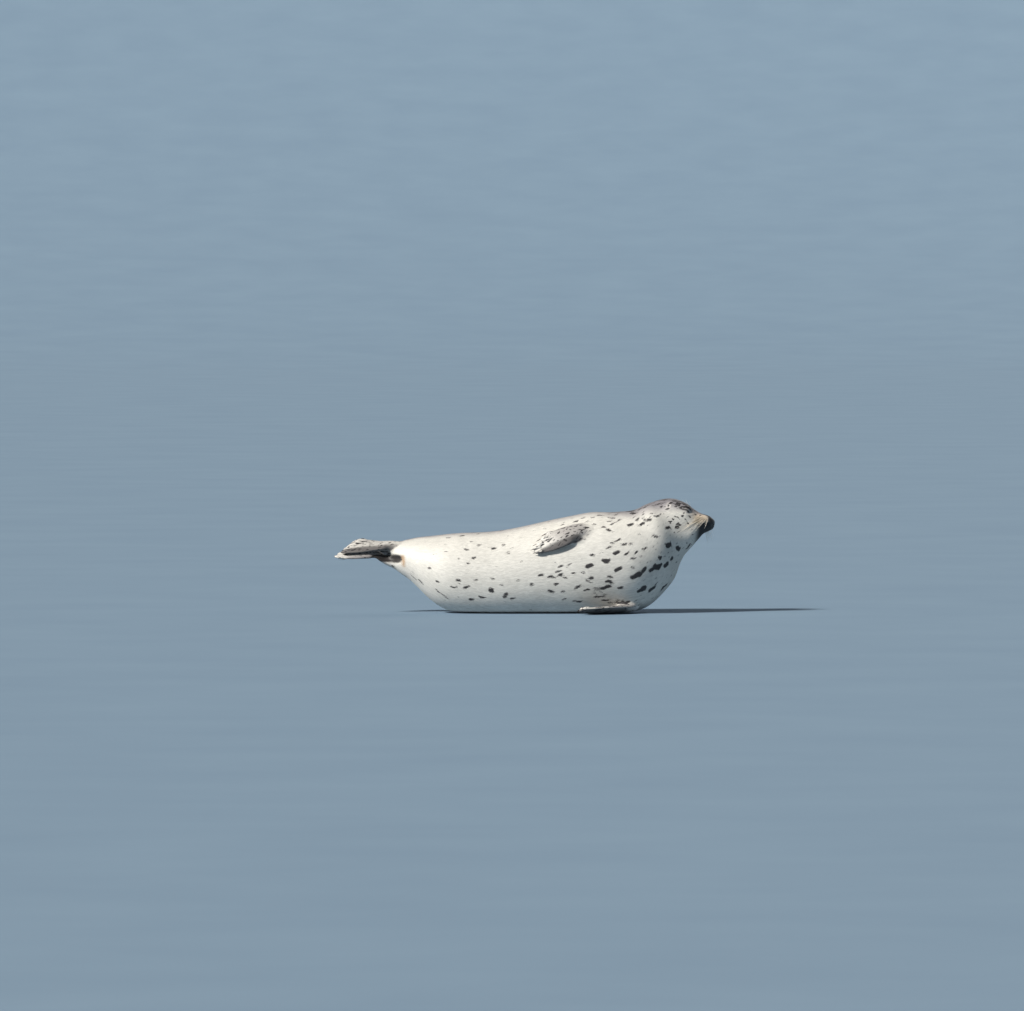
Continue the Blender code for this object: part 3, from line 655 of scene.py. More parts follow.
PAD_TAN = (0.52, 0.42, 0.31)
NOSE_BLACK = (0.012, 0.012, 0.013)
# dark fur of the muzzle's front and jaw, also used as painted shade on the front and under the jaw
MUZZLE_DARK_AND_SHADE = (0.024, 0.022, 0.022)
FLIPPER_GREY = (0.27, 0.245, 0.245)
# painted shade on the flippers' downward-facing sides and lower edges
UNDERSIDE_SHADE = (0.095, 0.085, 0.085)
# painted shade in the hollow between the hind flippers' roots
FOLD_SHADE = (0.022, 0.018, 0.018)
STAIN_BROWN = (0.36, 0.19, 0.065)
PALE_FUR = (0.74, 0.70, 0.64)
BACK_SHARE = (-0.34, 0.46)   # from the belly at -1 to the back at 1, where grey sets in and is full
FOLD_DEPTH = 0.009
DIGIT_STAND = {"fore": 0.0016, "hind": 0.0030}    # how far a digit's ridge stands out
FACE_SINK = 0.0007           # the skin lies this deep in the solids on the face,
BODY_SINK = 0.0013           # this much deeper on the body
LIMB_SINK = 0.0004           # and this deep on the limbs
FACE_HAIR = 0.0036           # length of the hair at the nose,
BODY_HAIR = 0.0094           # how much longer it is on the body,
LIMB_HAIR = 0.0052           # and its length on the limbs, round the eyes and at the ears
EYE_HAIR = 0.0032
EAR_HAIR = 0.0030
LIMB_FLOW = 2.0              # the limbs' flow starts here, clear of the trunk's, one apart


class Skin:
    """The skin's mesh with everything that coat and colour read from it."""

    def __init__(self, frame, anatomy):
        self.limbs = [Limb(frame, name) for name in LIMBS]
        self.mesh, trunk_tree, self.eyes = build_skin_mesh(frame, self.limbs)
        points = corners_of(self.mesh)
        self.edges = edges_of(self.mesh)
        self.owner = label_limbs(points, self.limbs, trunk_tree)[0]
        self.points = self.modelled(points, normals_of(self.mesh, points))
        self.normals = normals_of(self.mesh, self.points)
        self.depth, self.out, self.height = in_head(self.points)
        self.head = (self.owner < 0) & (self.depth < HEAD_LENGTH)
        place, right, dorsal, index = anatomy.read(self.points)
        self.share = dorsal / np.maximum(np.hypot(right, dorsal), 1e-4)
        self.flow = np.stack((place, right, dorsal), axis=1)
        self.lie = self.combed(anatomy, index)
        self.length = self.coat_length()
        self.bare = self.bareness()
        self.tone = self.even(fade(self.share, *BACK_SHARE), 6) * (self.owner < 0)
        self.wash = self.tinted_and_shaded()

    def even(self, values, rounds):
        """Values smoothed over the skin."""
        flat = values.reshape(len(values), -1)
        return evened(flat, self.edges, 0.5, rounds).reshape(values.shape)

    def modelled(self, points, normals):
        """Sink the skin by the coat's depth and model its fine forms."""
        sink = FACE_SINK + BODY_SINK * fade(in_head(points)[0], 0.05, 0.25)
        sink = self.even(np.where(self.owner < 0, sink, LIMB_SINK), 10)
        relief = face_relief(points) - sink - FOLD_DEPTH * hind_fold(points)
        for number, limb in enumerate(self.limbs):
            if limb.tips:
                here = self.owner == number
                stand = DIGIT_STAND[limb.name.split("_")[0]]
                relief[here] += stand * digit_relief(points[here], limb)
        points = points + relief[:, None] * normals
        points[:, 2] = np.maximum(points[:, 2], FLOOR_CLEAR)
        for eye in self.eyes:
            points = eye.lidded(points)
        return points

    def combed(self, anatomy, index):
        """Which way the hair lies: back along the body, a little down, and out along the limbs."""
        lie = -anatomy.forward[index] - 0.12 * anatomy.dorsal[index]
        for number, limb in enumerate(self.limbs):
            here = self.owner == number
            start = limb.root - 0.5 * limb.length * limb.along
            lie[here] = unit(self.points[here] - start)
            offset = self.points[here] - limb.root
            straight = offset @ np.stack((limb.along, limb.across, limb.normal), axis=1)
            self.flow[here] = straight + np.array((LIMB_FLOW + number, 0.0, 0.0))
        lie = self.even(lie, 14)
        lie -= (lie * self.normals).sum(axis=1, keepdims=True) * self.normals
        return unit(lie)

    def coat_length(self):
        """Length of the hair: shortest on the nose, feet and round the eyes and ears."""
        length = FACE_HAIR + BODY_HAIR * fade(self.depth, 0.02, 0.30)
        length = np.where(self.owner < 0, length, LIMB_HAIR)
        for eye in self.eyes:
            along, above, _, _ = eye.read(self.points)
            length[self.head & (np.hypot(along, above) < 0.03)] = EYE_HAIR
        length[self.head & (from_ear(self.depth, self.height) < 0.016)] = EAR_HAIR
        return self.even(length, 12)

    def bareness(self):
        """One where the skin shows bare: nose, lips, nostrils, lid rims and ear openings."""
        ragged = 0.0012 * np.sin(900.0 * self.out) * np.cos(700.0 * self.height)
        behind = self.depth + 0.30 * np.maximum(-self.height, 0.0) + ragged
        patches = [fall(behind, BARE_NOSE - 0.003, BARE_NOSE),
                   fade(mouth_line(self.points), 0.35, 0.7),
                   fade(ear_holes(self.points)[0], 0.45, 0.8)]
        patches += [eye.bareness(self.points) for eye in self.eyes]
        return np.max(patches, axis=0) * self.head

    def tinted_and_shaded(self):
        """Local colours, painted shade and painted highlights laid over the coat, and how strongly.
        """
        points, depth, height = self.points, self.depth, self.height
        pad = bump(depth, 0.050, 0.024) * bump(height, -0.012, 0.014)
        pad *= fade(np.abs(self.out), 0.012, 0.022)
        amount = np.clip(1.2 * pad, 0.0, 0.85) * self.head
        colour = np.array(PAD_TAN) * (1.0 + 0.30 * follicles(points)[:, None])

        def lay(hue, strength):
            strong = strength > amount
            colour[strong] = hue
            np.maximum(amount, strength, out=amount)

        # the muzzle's dark fur, reaching farther back on top and under the jaw, with painted shade
        # over the front and under the jaw
        edge = 0.027 + 0.026 * fade(height, 0.002, 0.013) + 0.030 * fade(-height, 0.016, 0.032)
        lay(MUZZLE_DARK_AND_SHADE, fall(depth, edge - 0.010, edge + 0.012) * self.head)
        # dark wet hair round each eye, with painted shade under its lids and along the fold below
        for eye in self.eyes:
            lay(NOSE_BLACK, eye.wet_hair_and_lid_shade(points) * self.head)
        lay(NOSE_BLACK, self.bare)
        lay(PALE_FUR, 0.35 * ear_holes(points)[1] * self.head)
        for number, limb in enumerate(self.limbs):
            self.limb_tint_and_shade(limb, self.owner == number, lay)
        # painted shade in the hollow between the hind flippers' roots
        lay(FOLD_SHADE, 0.985 * fade(hind_fold(points), 0.12, 0.50))
        beside = to_segment(points[:, 0], points[:, 2], *STAIN)
        lay(STAIN_BROWN, 0.80 * bump(beside, 0.0, 0.0045) * (points[:, 1] < 0.0))
        return np.column_stack((colour, self.even(amount, 2)))

    def limb_tint_and_shade(self, limb, here, lay):
        """The grey of one limb, with painted shade on its underside and lower edge, and painted
        highlights on the hind flippers.
        """
        share = limb.share_along(self.points)
        below = -limb.above(self.points)
        if limb.name.startswith("fore"):
            tips = 1.0 - 0.85 * fade(share, 0.45, 0.85)
            lay(FLIPPER_GREY, 0.65 * here * fade(share, 0.0, 0.22) * tips)
            # painted shade on the fore flipper's downward-facing side and lower edge
            underside_shade = np.maximum(fade(-self.normals[:, 2], -0.05, 0.40), fade(below, 0.010, 0.024))
            lay(UNDERSIDE_SHADE, 0.93 * here * underside_shade * fade(share, 0.12, 0.30))
            return
        near = limb.name == "hind_flipper_right"
        # the near flipper gets less grey than the far one: painted light on its lit upper side
        grey = (0.40 if near else 0.90) * here * fade(share, -0.05, 0.45)
        if limb.tips:
            # painted highlights on the digits' ridges
            grey *= 1.0 - 0.40 * np.clip(digit_relief(self.points, limb), 0.0, 1.0)
        if not near:
            # the far flipper's tip is painted pale: a painted highlight on its lit edge
            grey *= 1.0 - 0.9 * fade(share, 0.72, 0.88)
        lay(FLIPPER_GREY, grey)
        if near:
            # painted shade on the near hind flipper's lower edge
            lay(UNDERSIDE_SHADE, 0.90 * here * fade(below, 0.014, 0.034) * fade(share, -0.02, 0.25))


# ---- markings

# The plainer spots of this one animal on the side towards -Y, each judged and placed one by one:
# x and z of the middle, half the length and half the width in millimetres, and how far
# the end towards the head is raised, in degrees.
BELLY_SPOTS = (
    (-357, 173, 8, 4, -8), (-327, 120, 8, 5, -15), (-284, 283, 9, 4, 5), (-262, 104, 13, 4, -14),
    (-249, 205, 5, 3, -20), (-246, 126, 11, 5, -10), (-219, 240, 8, 6, 10), (-219, 100, 14, 6, 12),
    (-205, 188, 6, 4, -25), (-201, 56, 12, 7, 10), (-193, 212, 8, 6, 0), (-167, 257, 7, 4, -30),
    (-160, 64, 15, 5, -8), (-128, 89, 11, 10, 60), (-119, 244, 10, 6, 10), (-117, 134, 9, 3, 5),
    (-89, 108, 7, 4, 0), (-78, 257, 8, 4, 40), (-75, 71, 13, 9, 70), (-60, 227, 10, 3, 50),
    (-45, 60, 11, 5, 0), (-26, 126, 6, 5, 0), (25, 112, 8, 6, 80), (63, 145, 12, 5, 8),
    (93, 86, 14, 5, -6), (100, 139, 15, 5, -4), (114, 115, 10, 6, 0), (126, 162, 13, 4, 0),
    (129, 177, 9, 5, 5), (134, 146, 13, 5, 18), (138, 87, 8, 4, 10), (148, 139, 12, 4, -12),
    (145, 56, 8, 4, 0), (160, 186, 9, 3, 8), (184, 153, 10, 4, 5), (192, 100, 13, 6, 20),
    (193, 48, 20, 4, -3), (218, 154, 7, 4, 0), (227, 91, 13, 5, 8), (237, 182, 16, 9, -8),
    (249, 134, 11, 6, 14), (253, 219, 11, 5, 0), (268, 64, 18, 4, 18), (298, 52, 18, 5, 10),
    (285, 365, 14, 4, -6), (292, 321, 10, 4, -20), (298, 100, 26, 7, 10), (301, 199, 18, 9, 8),
    (309, 249, 12, 4, 12), (309, 311, 12, 6, -22), (316, 122, 18, 7, -18), (319, 137, 13, 4, -20),
    (321, 357, 15, 5, -12), (327, 264, 10, 3, 0), (337, 232, 14, 8, 20), (344, 169, 14, 9, 8),
    (347, 275, 12, 4, 14), (357, 101, 14, 6, 24), (368, 262, 13, 5, 10), (370, 41, 24, 6, 8),
    (376, 227, 10, 5, 22), (393, 260, 8, 4, 0), (394, 332, 15, 5, -6), (398, 176, 10, 4, 5),
    (404, 209, 10, 5, 15), (408, 372, 16, 5, 4), (409, 231, 8, 5, 35), (413, 145, 25, 11, 22),
    (418, 352, 10, 4, 16), (424, 332, 10, 4, -40), (435, 93, 20, 10, 28), (437, 336, 10, 5, -12),
    (443, 167, 14, 9, 30), (446, 246, 12, 4, 4), (453, 352, 18, 6, -14), (472, 91, 20, 8, 45),
    (476, 170, 18, 9, 25), (484, 175, 14, 9, -30), (487, 287, 8, 6, 0), (488, 365, 13, 5, 10),
    (498, 179, 16, 11, 15), (503, 212, 10, 7, -40), (516, 97, 22, 6, 55), (523, 184, 13, 9, 40),
    (530, 321, 15, 5, -12), (532, 256, 16, 10, -15), (541, 343, 7, 4, 30), (545, 206, 12, 7, 30),
    (567, 319, 13, 6, 6), (569, 242, 16, 9, -6), (570, 332, 9, 5, 0), (608, 249, 14, 5, 50),
    (-294, 63, 18, 4, -45), (-324, 85, 16, 3, -42), (-389, 119, 14, 3, -38),
    (-413, 134, 22, 3, -38), (285, 376, 11, 3, 0), (250, 359, 9, 4, 25), (315, 377, 11, 3, -4),
    (346, 374, 11, 3, 0), (192, 344, 11, 3, 20), (214, 357, 10, 3, 10), (142, 331, 8, 3, 10),
    (355, 349, 9, 3, -8), (259, 332, 8, 4, -15), (323, 333, 7, 3, -5), (316, 343, 8, 3, -5),
    (232, 345, 8, 3, 15), (-237, 290, 7, 3, 0), (-201, 269, 6, 3, 10), (-296, 258, 6, 3, -8),
    (-296, 230, 6, 3, 0), (-13, 195, 6, 3, 12), (-179, 130, 7, 3, -5), (490, 419, 11, 4, 15),
    (493, 406, 9, 4, 20), (506, 400, 7, 4, -10), (517, 422, 11, 4, 0), (527, 389, 7, 4, 20),
    (560, 418, 10, 5, -15), (544, 412, 7, 4, -45), (559, 397, 6, 3, 0), (571, 409, 11, 4, -30),
    (585, 413, 11, 5, -35), (592, 405, 12, 5, -35), (614, 362, 6, 4, -30), (587, 364, 5, 4, -10),
    (592, 373, 5, 3, -30), (595, 347, 5, 3, -50), (604, 336, 8, 3, -50), (546, 354, 6, 3, -30),
    (567, 355, 6, 3, -45), (557, 359, 5, 3, -30), (468, 374, 7, 4, 0), (438, 371, 5, 3, 0),
    (427, 299, 7, 3, 10),
)
SPOT_SEED = 4
SPOT_TRIES = 16000
SPOTLESS_MUZZLE = 0.055      # no small spots this near the nose's tip
SPOTLESS_EAR = 0.018         # or the ear


def wavering(points):
    """Small smooth shifts of places, so that no spot is a plain oval."""
    shift = np.zeros(points.shape)
    for size, pitch in ((0.0030, 170.0), (0.0016, 430.0)):
        turned = points[:, (1, 2, 0)] + 0.6 * points[:, (2, 0, 1)]
        shift += size * np.sin(pitch * turned + np.array((0.3, 1.9, 4.1)))
    return shift


class Spots:
    """Dark spots lying on the skin, each an oval along the hair."""

    def __init__(self):
        self.rows = []

    def add(self, centre, normal, along, half_length, half_width, strength=1.0):
        """One spot on the skin at a place, with its long side along a direction."""
        along = unit(along - (along @ normal) * normal)
        self.rows.append((centre, normal, along, np.cross(normal, along),
                          half_length, half_width, strength))

    def field(self, points, normals):
        """One in the middle of a spot, a half at its edge, and nothing outside."""
        points = points + wavering(points)
        order = np.argsort(points[:, 0])
        sorted_x = points[order, 0]
        level = np.zeros(len(points))
        for centre, normal, along, across, half_length, half_width, strength in self.rows:
            reach = 1.6 * max(half_length, half_width)
            first, last = np.searchsorted(sorted_x, (centre[0] - reach, centre[0] + reach))
            part = order[first:last]
            offset = points[part] - centre
            away = np.hypot(offset @ along / half_length, offset @ across / half_width)
            value = strength * np.clip(1.5 - away, 0.0, 1.0) * (normals[part] @ normal > 0.1)
            level[part] = np.maximum(level[part], value)
        return level


def spot_plan(share, owner, depth, seen):
    """Spacing and half length of the small spots wanted at each place."""
    back = fade(share, -0.30, 0.35)
    kinds = (owner >= 0, depth < HEAD_LENGTH, seen & (share < -0.30))
    spacing = np.select(kinds, (0.0105, 0.020 - 0.0125 * back, 0.060), 0.046 - 0.029 * back)
    size = np.select(kinds, (0.0052, 0.0030 + 0.0026 * back, 0.0028), 0.0050 + 0.0035 * back)
    return spacing, size


def add_belly_spots(skin, spots):
    """The chosen spots, each on the nearest corner of the side towards -Y."""
    facing = np.nonzero((skin.normals[:, 1] < -0.05) & (skin.owner < 0))[0]
    flat = skin.points[facing][:, (0, 2)]
    for *measures, lean in BELLY_SPOTS:
        x, z, half_length, half_width = np.array(measures) / 1000.0
        best = facing[((flat - (x, z)) ** 2).sum(axis=1).argmin()]
        angle = math.radians(lean)
        along = np.array((math.cos(angle), 0.0, math.sin(angle)))
        spots.add(skin.points[best], skin.normals[best], along, half_length, half_width)


def add_small_spots(skin, spots):
    """Small spots scattered over the rest, none too near to one before it."""
    rng = np.random.default_rng(SPOT_SEED)
    corners, shares = scatter(skin, np.ones(len(skin.points)), SPOT_TRIES, rng)
    order = rng.permutation(SPOT_TRIES)
    corners, shares = corners[order], shares[order]
    points = mixed(skin.points, corners, shares)
    normals = unit(mixed(skin.normals, corners, shares))
    lie = mixed(skin.lie, corners, shares)
    owner = skin.owner[corners[:, 0]]
    depth, _, height = in_head(points)
    seen = normals[:, 1] < -0.25
    spacing, size = spot_plan(skin.share[corners[:, 0]], owner, depth, seen)
    spacing = spacing * rng.uniform(0.75, 1.35, SPOT_TRIES)
    size = size * rng.lognormal(0.0, 0.32, SPOT_TRIES)
    clear = (depth < SPOTLESS_MUZZLE) | (from_ear(depth, height) < SPOTLESS_EAR)
    kept = np.empty((0, 3))
    for index in np.nonzero(~clear)[0]:
        gaps = ((kept - points[index]) ** 2).sum(axis=1)
        if (gaps < spacing[index] ** 2).any():
            continue
        kept = np.vstack((kept, points[index]))
        slim = size[index] * rng.uniform(0.32, 0.60 if owner[index] < 0 else 0.40)
        strength = rng.uniform(0.75, 1.0)
        spots.add(points[index], normals[index], lie[index], size[index], slim, strength)


# ---- scattering over the skin

def scatter(skin, weights, count, rng):
    """Corner numbers and shares of places spread over the skin in proportion to weights."""
    skin.mesh.calc_loop_triangles()
    triangles = read_all(skin.mesh.loop_triangles, "vertices", 3, np.int64)
    first, second, third = (skin.points[triangles[:, k]] for k in range(3))
    area = 0.5 * np.linalg.norm(np.cross(second - first, third - first), axis=1)
    total = np.cumsum(area * weights[triangles].mean(axis=1))
    aims = (np.arange(count) + rng.random(count)) * total[-1] / count
    chosen = np.minimum(np.searchsorted(total, aims), len(triangles) - 1)
    root = np.sqrt(rng.random(count))
    slide = rng.random(count)
    shares = np.stack((1.0 - root, root * (1.0 - slide), root * slide), axis=1)
    return triangles[chosen], shares


def mixed(values, corners, shares):
    """Values read at scattered places."""
    if values.ndim == 1:
        return (values[corners] * shares).sum(axis=1)
    return (values[corners] * shares[:, :, None]).sum(axis=1)


# ---- materials

CREAM = (0.70, 0.675, 0.625)
WARM_GREY = (0.48, 0.455, 0.445)
MAUVE_GREY = (0.250, 0.235, 0.250)
SPOT_DARK = (0.030, 0.026, 0.028)
EYE_BLACK = (0.006, 0.005, 0.005)
EYE_BROWN = (0.022, 0.013, 0.009)
HORN_DARK = (0.018, 0.014, 0.013)
HORN_BROWN = (0.075, 0.060, 0.052)
HORN_WORN = (0.16, 0.13, 0.11)
BRISTLE_COLOURS = ((0.16, 0.11, 0.07), (0.62, 0.55, 0.44), (0.78, 0.74, 0.66))    # root to tip
BRISTLE_FLECK = (0.35, 0.27, 0.19)
FLOOR_COLOURS = ((0.165, 0.245, 0.335), (0.185, 0.270, 0.360))


class Paint:
    """A material and short ways of laying out its nodes."""

    def __init__(self, name, roughness):
        self.finish = bpy.data.materials.new(name)
        self.finish.use_nodes = True
        self.tree = self.finish.node_tree
        self.shader = self.tree.nodes["Principled BSDF"]
        self.shader.inputs["Roughness"].default_value = roughness

    def put(self, value, socket):
        """Set a socket to a number or colour, or join another socket to it."""
        if isinstance(value, bpy.types.NodeSocket):
            self.tree.links.new(value, socket)
        elif isinstance(value, tuple) and len(value) == 3 and socket.type == "RGBA":
            socket.default_value = (*value, 1.0)
        else:
            socket.default_value = value

    def node(self, kind, inputs, **settings):
        """A new node with these settings and inputs."""
        node = self.tree.nodes.new("ShaderNode" + kind)
        for name, value in settings.items():
            setattr(node, name, value)
        for name, value in inputs.items():
            self.put(value, node.inputs[name])
        return node

    def colour(self, value):
        """Give the surface a colour."""
        self.put(value, self.shader.inputs["Base Color"])

    def place(self):
        """Where a point lies on its object."""
        return self.node("TexCoord", {}).outputs["Object"]

    def attribute(self, name, output="Fac"):
        """An attribute of the mesh."""
        return self.node("Attribute", {}, attribute_name=name).outputs[output]

    def maths(self, operation, first, second):
        """Arithmetic on two numbers."""
        return self.node("Math", {0: first, 1: second}, operation=operation).outputs[0]

    def swing(self, value, spread):
        """Values about a half turned into values about nothing."""
        return self.maths("MULTIPLY", self.maths("SUBTRACT", value, 0.5), spread)

    def stretched(self, vector, scale):
        """A vector scaled along each of its parts."""
        return self.node("VectorMath", {0: vector, 1: scale}, operation="MULTIPLY").outputs[0]

    def noise(self, vector, scale, detail=2.0):
        """Smooth random values from 0 to 1."""
        inputs = {"Vector": vector, "Scale": scale, "Detail": detail}
        return self.node("TexNoise", inputs).outputs["Fac"]

    def range(self, value, low, high, to_low, to_high):
        """Values spread smoothly from one range to another."""
        inputs = dict(enumerate((value, low, high, to_low, to_high)))
        return self.node("MapRange", inputs, interpolation_type="SMOOTHSTEP").outputs[0]

    def mix(self, share, first, second):
        """Two colours laid together."""
        inputs = {"Factor": share, "A": first, "B": second}
        return self.node("Mix", inputs, data_type="RGBA").outputs["Result"]

    def ramp(self, value, stops):
        """A colour read from stops along 0 to 1."""
        node = self.node("ValToRGB", {0: value})
        points = node.color_ramp.elements
        while len(points) < len(stops):
            points.new(0.5)
        for point, (place, colour) in zip(points, stops):
            point.position = place
            point.color = (*colour, 1.0)
        return node.outputs[0]

    def bumped(self, height, distance, strength):
        """Raise the surface by a height."""
        inputs = {"Height": height, "Distance": distance, "Strength": strength}
        self.put(self.node("Bump", inputs).outputs[0], self.shader.inputs["Normal"])


def coat_colour(paint, jitter):
    """The markings of the seal, with the skin's local colours and painted shade and highlights laid
    in, the same for skin and coat.
    """
    flow = paint.attribute("flow", "Vector")
    streaks = paint.noise(paint.stretched(flow, (0.14, 1.0, 1.0)), 420.0, 3.0)
    clouds = paint.noise(flow, 16.0, 3.0)
    tone = paint.maths("ADD", paint.attribute("tone"), paint.swing(clouds, 0.45))
    base = paint.ramp(tone, ((0.04, CREAM), (0.42, WARM_GREY), (0.95, MAUVE_GREY)))
    light = paint.range(streaks, 0.25, 0.75, 0.80, 1.10)
    light = paint.maths("MULTIPLY", light, paint.range(clouds, 0.2, 0.8, 0.92, 1.05))
    light = paint.maths("MULTIPLY", light, jitter)
    tinted_and_shaded = paint.mix(paint.attribute("wash", "Alpha"), base, paint.attribute("wash", "Color"))
    edge = paint.maths("ADD", paint.attribute("mark"), paint.swing(streaks, 0.34))
    spotted = paint.mix(paint.range(edge, 0.36, 0.62, 0.0, 0.985), tinted_and_shaded, SPOT_DARK)
    return paint.node("HueSaturation", {"Value": light, "Color": spotted}).outputs[0]


def skin_material():
    """Skin under the coat, with bare pebbled skin on the nose, lips and lid rims."""
    paint = Paint("seal_skin", 0.5)
    paint.colour(coat_colour(paint, 1.0))
    bare = paint.attribute("bare")
    paint.put(paint.range(bare, 0.0, 1.0, 0.52, 0.30), paint.shader.inputs["Roughness"])
    flow = paint.attribute("flow", "Vector")
    pebbles = paint.node("TexVoronoi", {"Vector": flow, "Scale": 900.0}).outputs["Distance"]
    hairs = paint.noise(paint.stretched(flow, (0.10, 1.0, 1.0)), 1500.0)
    paint.bumped(paint.mix(bare, hairs, pebbles), 0.0005, 0.7)
    return paint.finish


def coat_material():
    """Short glossy guard hairs."""
    paint = Paint("seal_coat", 0.46)
    paint.colour(coat_colour(paint, paint.attribute("jitter")))
    paint.shader.inputs["Specular IOR Level"].default_value = 0.35
    paint.shader.inputs["Sheen Weight"].default_value = 0.08
    return paint.finish


def eye_material():
    """Wet, nearly black eye with a faint brown iris."""
    paint = Paint("seal_eye", 0.06)
    brown = paint.noise(paint.place(), 220.0)
    paint.colour(paint.ramp(brown, ((0.3, EYE_BLACK), (0.8, EYE_BROWN))))
    paint.shader.inputs["Coat Weight"].default_value = 1.0
    paint.shader.inputs["Coat Roughness"].default_value = 0.02
    return paint.finish


def claw_material():
    """Dark horn with faint growth lines, worn paler in places."""
    paint = Paint("claw_horn", 0.32)
    place = paint.place()
    lines = paint.noise(paint.stretched(place, (0.3, 1.0, 1.0)), 900.0, 3.0)
    worn = paint.range(paint.noise(place, 180.0), 0.55, 0.75, 0.0, 0.45)
    horn = paint.ramp(lines, ((0.3, HORN_DARK), (0.75, HORN_BROWN)))
    paint.colour(paint.mix(worn, horn, HORN_WORN))
    paint.bumped(lines, 0.0002, 0.5)
    return paint.finish


def whisker_material():
    """Pale horny bristle, browner towards the root."""
    paint = Paint("whisker", 0.34)
    flecks = paint.range(paint.noise(paint.place(), 500.0), 0.45, 0.8, 0.0, 0.35)
    stops = zip((0.0, 0.2, 1.0), BRISTLE_COLOURS)
    bristle = paint.ramp(paint.attribute("along"), tuple(stops))
    paint.colour(paint.mix(flecks, bristle, BRISTLE_FLECK))
    return paint.finish


def floor_material():
    """Plain grey-blue studio floor with the slightest unevenness."""
    paint = Paint("studio_floor", 0.85)
    cloudy = paint.noise(paint.place(), 1.5, 3.0)
    paint.colour(paint.ramp(cloudy, ((0.2, FLOOR_COLOURS[0]), (0.8, FLOOR_COLOURS[1]))))
    return paint.finish


# ---- pieces

def store(mesh, fields):
    """Keep named values at the mesh's corners for its material to read."""
    kinds = {1: ("FLOAT", "value"), 3: ("FLOAT_VECTOR", "vector"), 4: ("FLOAT_COLOR", "color")}
    for name, values in fields.items():
        kind, entry = kinds[values.reshape(len(values), -1).shape[1]]
        layer = mesh.attributes.new(name, kind, "POINT")
        layer.data.foreach_set(entry, values.astype(np.float32).ravel())


def placed(name, mesh, finish, slot=None):
    """Put a mesh into the scene with its material, riding on the body when a slot is given."""
    piece = bpy.data.objects.new(name, mesh)
    bpy.context.scene.collection.objects.link(piece)
    mesh.materials.clear()
    mesh.materials.append(finish)
    if slot:
        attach(piece, "root")
    return piece


def build_skin(skin, spots):
    """The one skin that stands for every piece of flesh."""
    mark = spots.field(skin.points, skin.normals)
    store(skin.mesh, {"flow": skin.flow, "tone": skin.tone, "wash": skin.wash,
                      "bare": skin.bare, "mark": mark})
    piece = placed("skin", skin.mesh, skin_material(), "coat")
    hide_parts(*TRUNK, *LIMBS)


MAP_MARGIN = 0.02            # the trunk starts this far inside the flat map,
MAP_RUMP = 0.25              # with room for this much behind the rump
MAP_REACH = 1.65             # and for this much of body in all
MAP_TRUNK = 0.66             # it takes up this share of the map's height,
MAP_LIMBS = 0.72             # and the limbs stand in a row from here up,
MAP_COLUMN = 0.095           # each face of a limb in a column of this width


def unwrapped(flow, owner):
    """Place on a flat map of the straightened skin, with the limbs in a row above the trunk."""
    turn = np.arctan2(flow[:, 1], -flow[:, 2]) / (2.0 * math.pi) + 0.5
    across = MAP_MARGIN + (flow[:, 0] + MAP_RUMP) / MAP_REACH
    up = MAP_MARGIN + MAP_TRUNK * turn
    column = 2 * owner + (flow[:, 2] > 0.0)
    limb = owner >= 0
    across = np.where(limb, 0.055 + MAP_COLUMN * column + 0.7 * flow[:, 1], across)
    up = np.where(limb, MAP_LIMBS + 0.95 * (flow[:, 0] - LIMB_FLOW - owner), up)
    return np.clip(np.stack((across, up), axis=1), 0.004, 0.996)


COAT_SEED = 11
TUFT_COUNT = 230000
PIECE_TUFTS = 48000          # tufts in one piece of the coat, at most
TUFT_WIDTH = 0.060           # half a tuft's width as a share of its length
TUFT_SCATTER = 0.11          # how far tufts lean out of the lie of the hair
STRAY_LENGTH = 0.4           # tufts that find no skin under their tip are cut to this share
COAT_CLEAR = 0.0003          # the coat stays this far above the floor
# A tuft's corners are two under the skin, one on its ridge and its tip. Its first two faces
# are the upper ones.
TUFT_FACES = np.array(((0, 2, 3), (2, 1, 3), (1, 2, 0), (0, 3, 1)))
TUFT_TILT = np.array((-0.22, 0.22, 0.0, 0.0))    # sideways lean of the shading at each corner
PATCH = 0.0015               # half the side of a tuft's patch on the flat map
TUFT_PATCH = np.array(((-PATCH, -PATCH), (PATCH, -PATCH), (0.0, 0.0), (0.0, PATCH)))


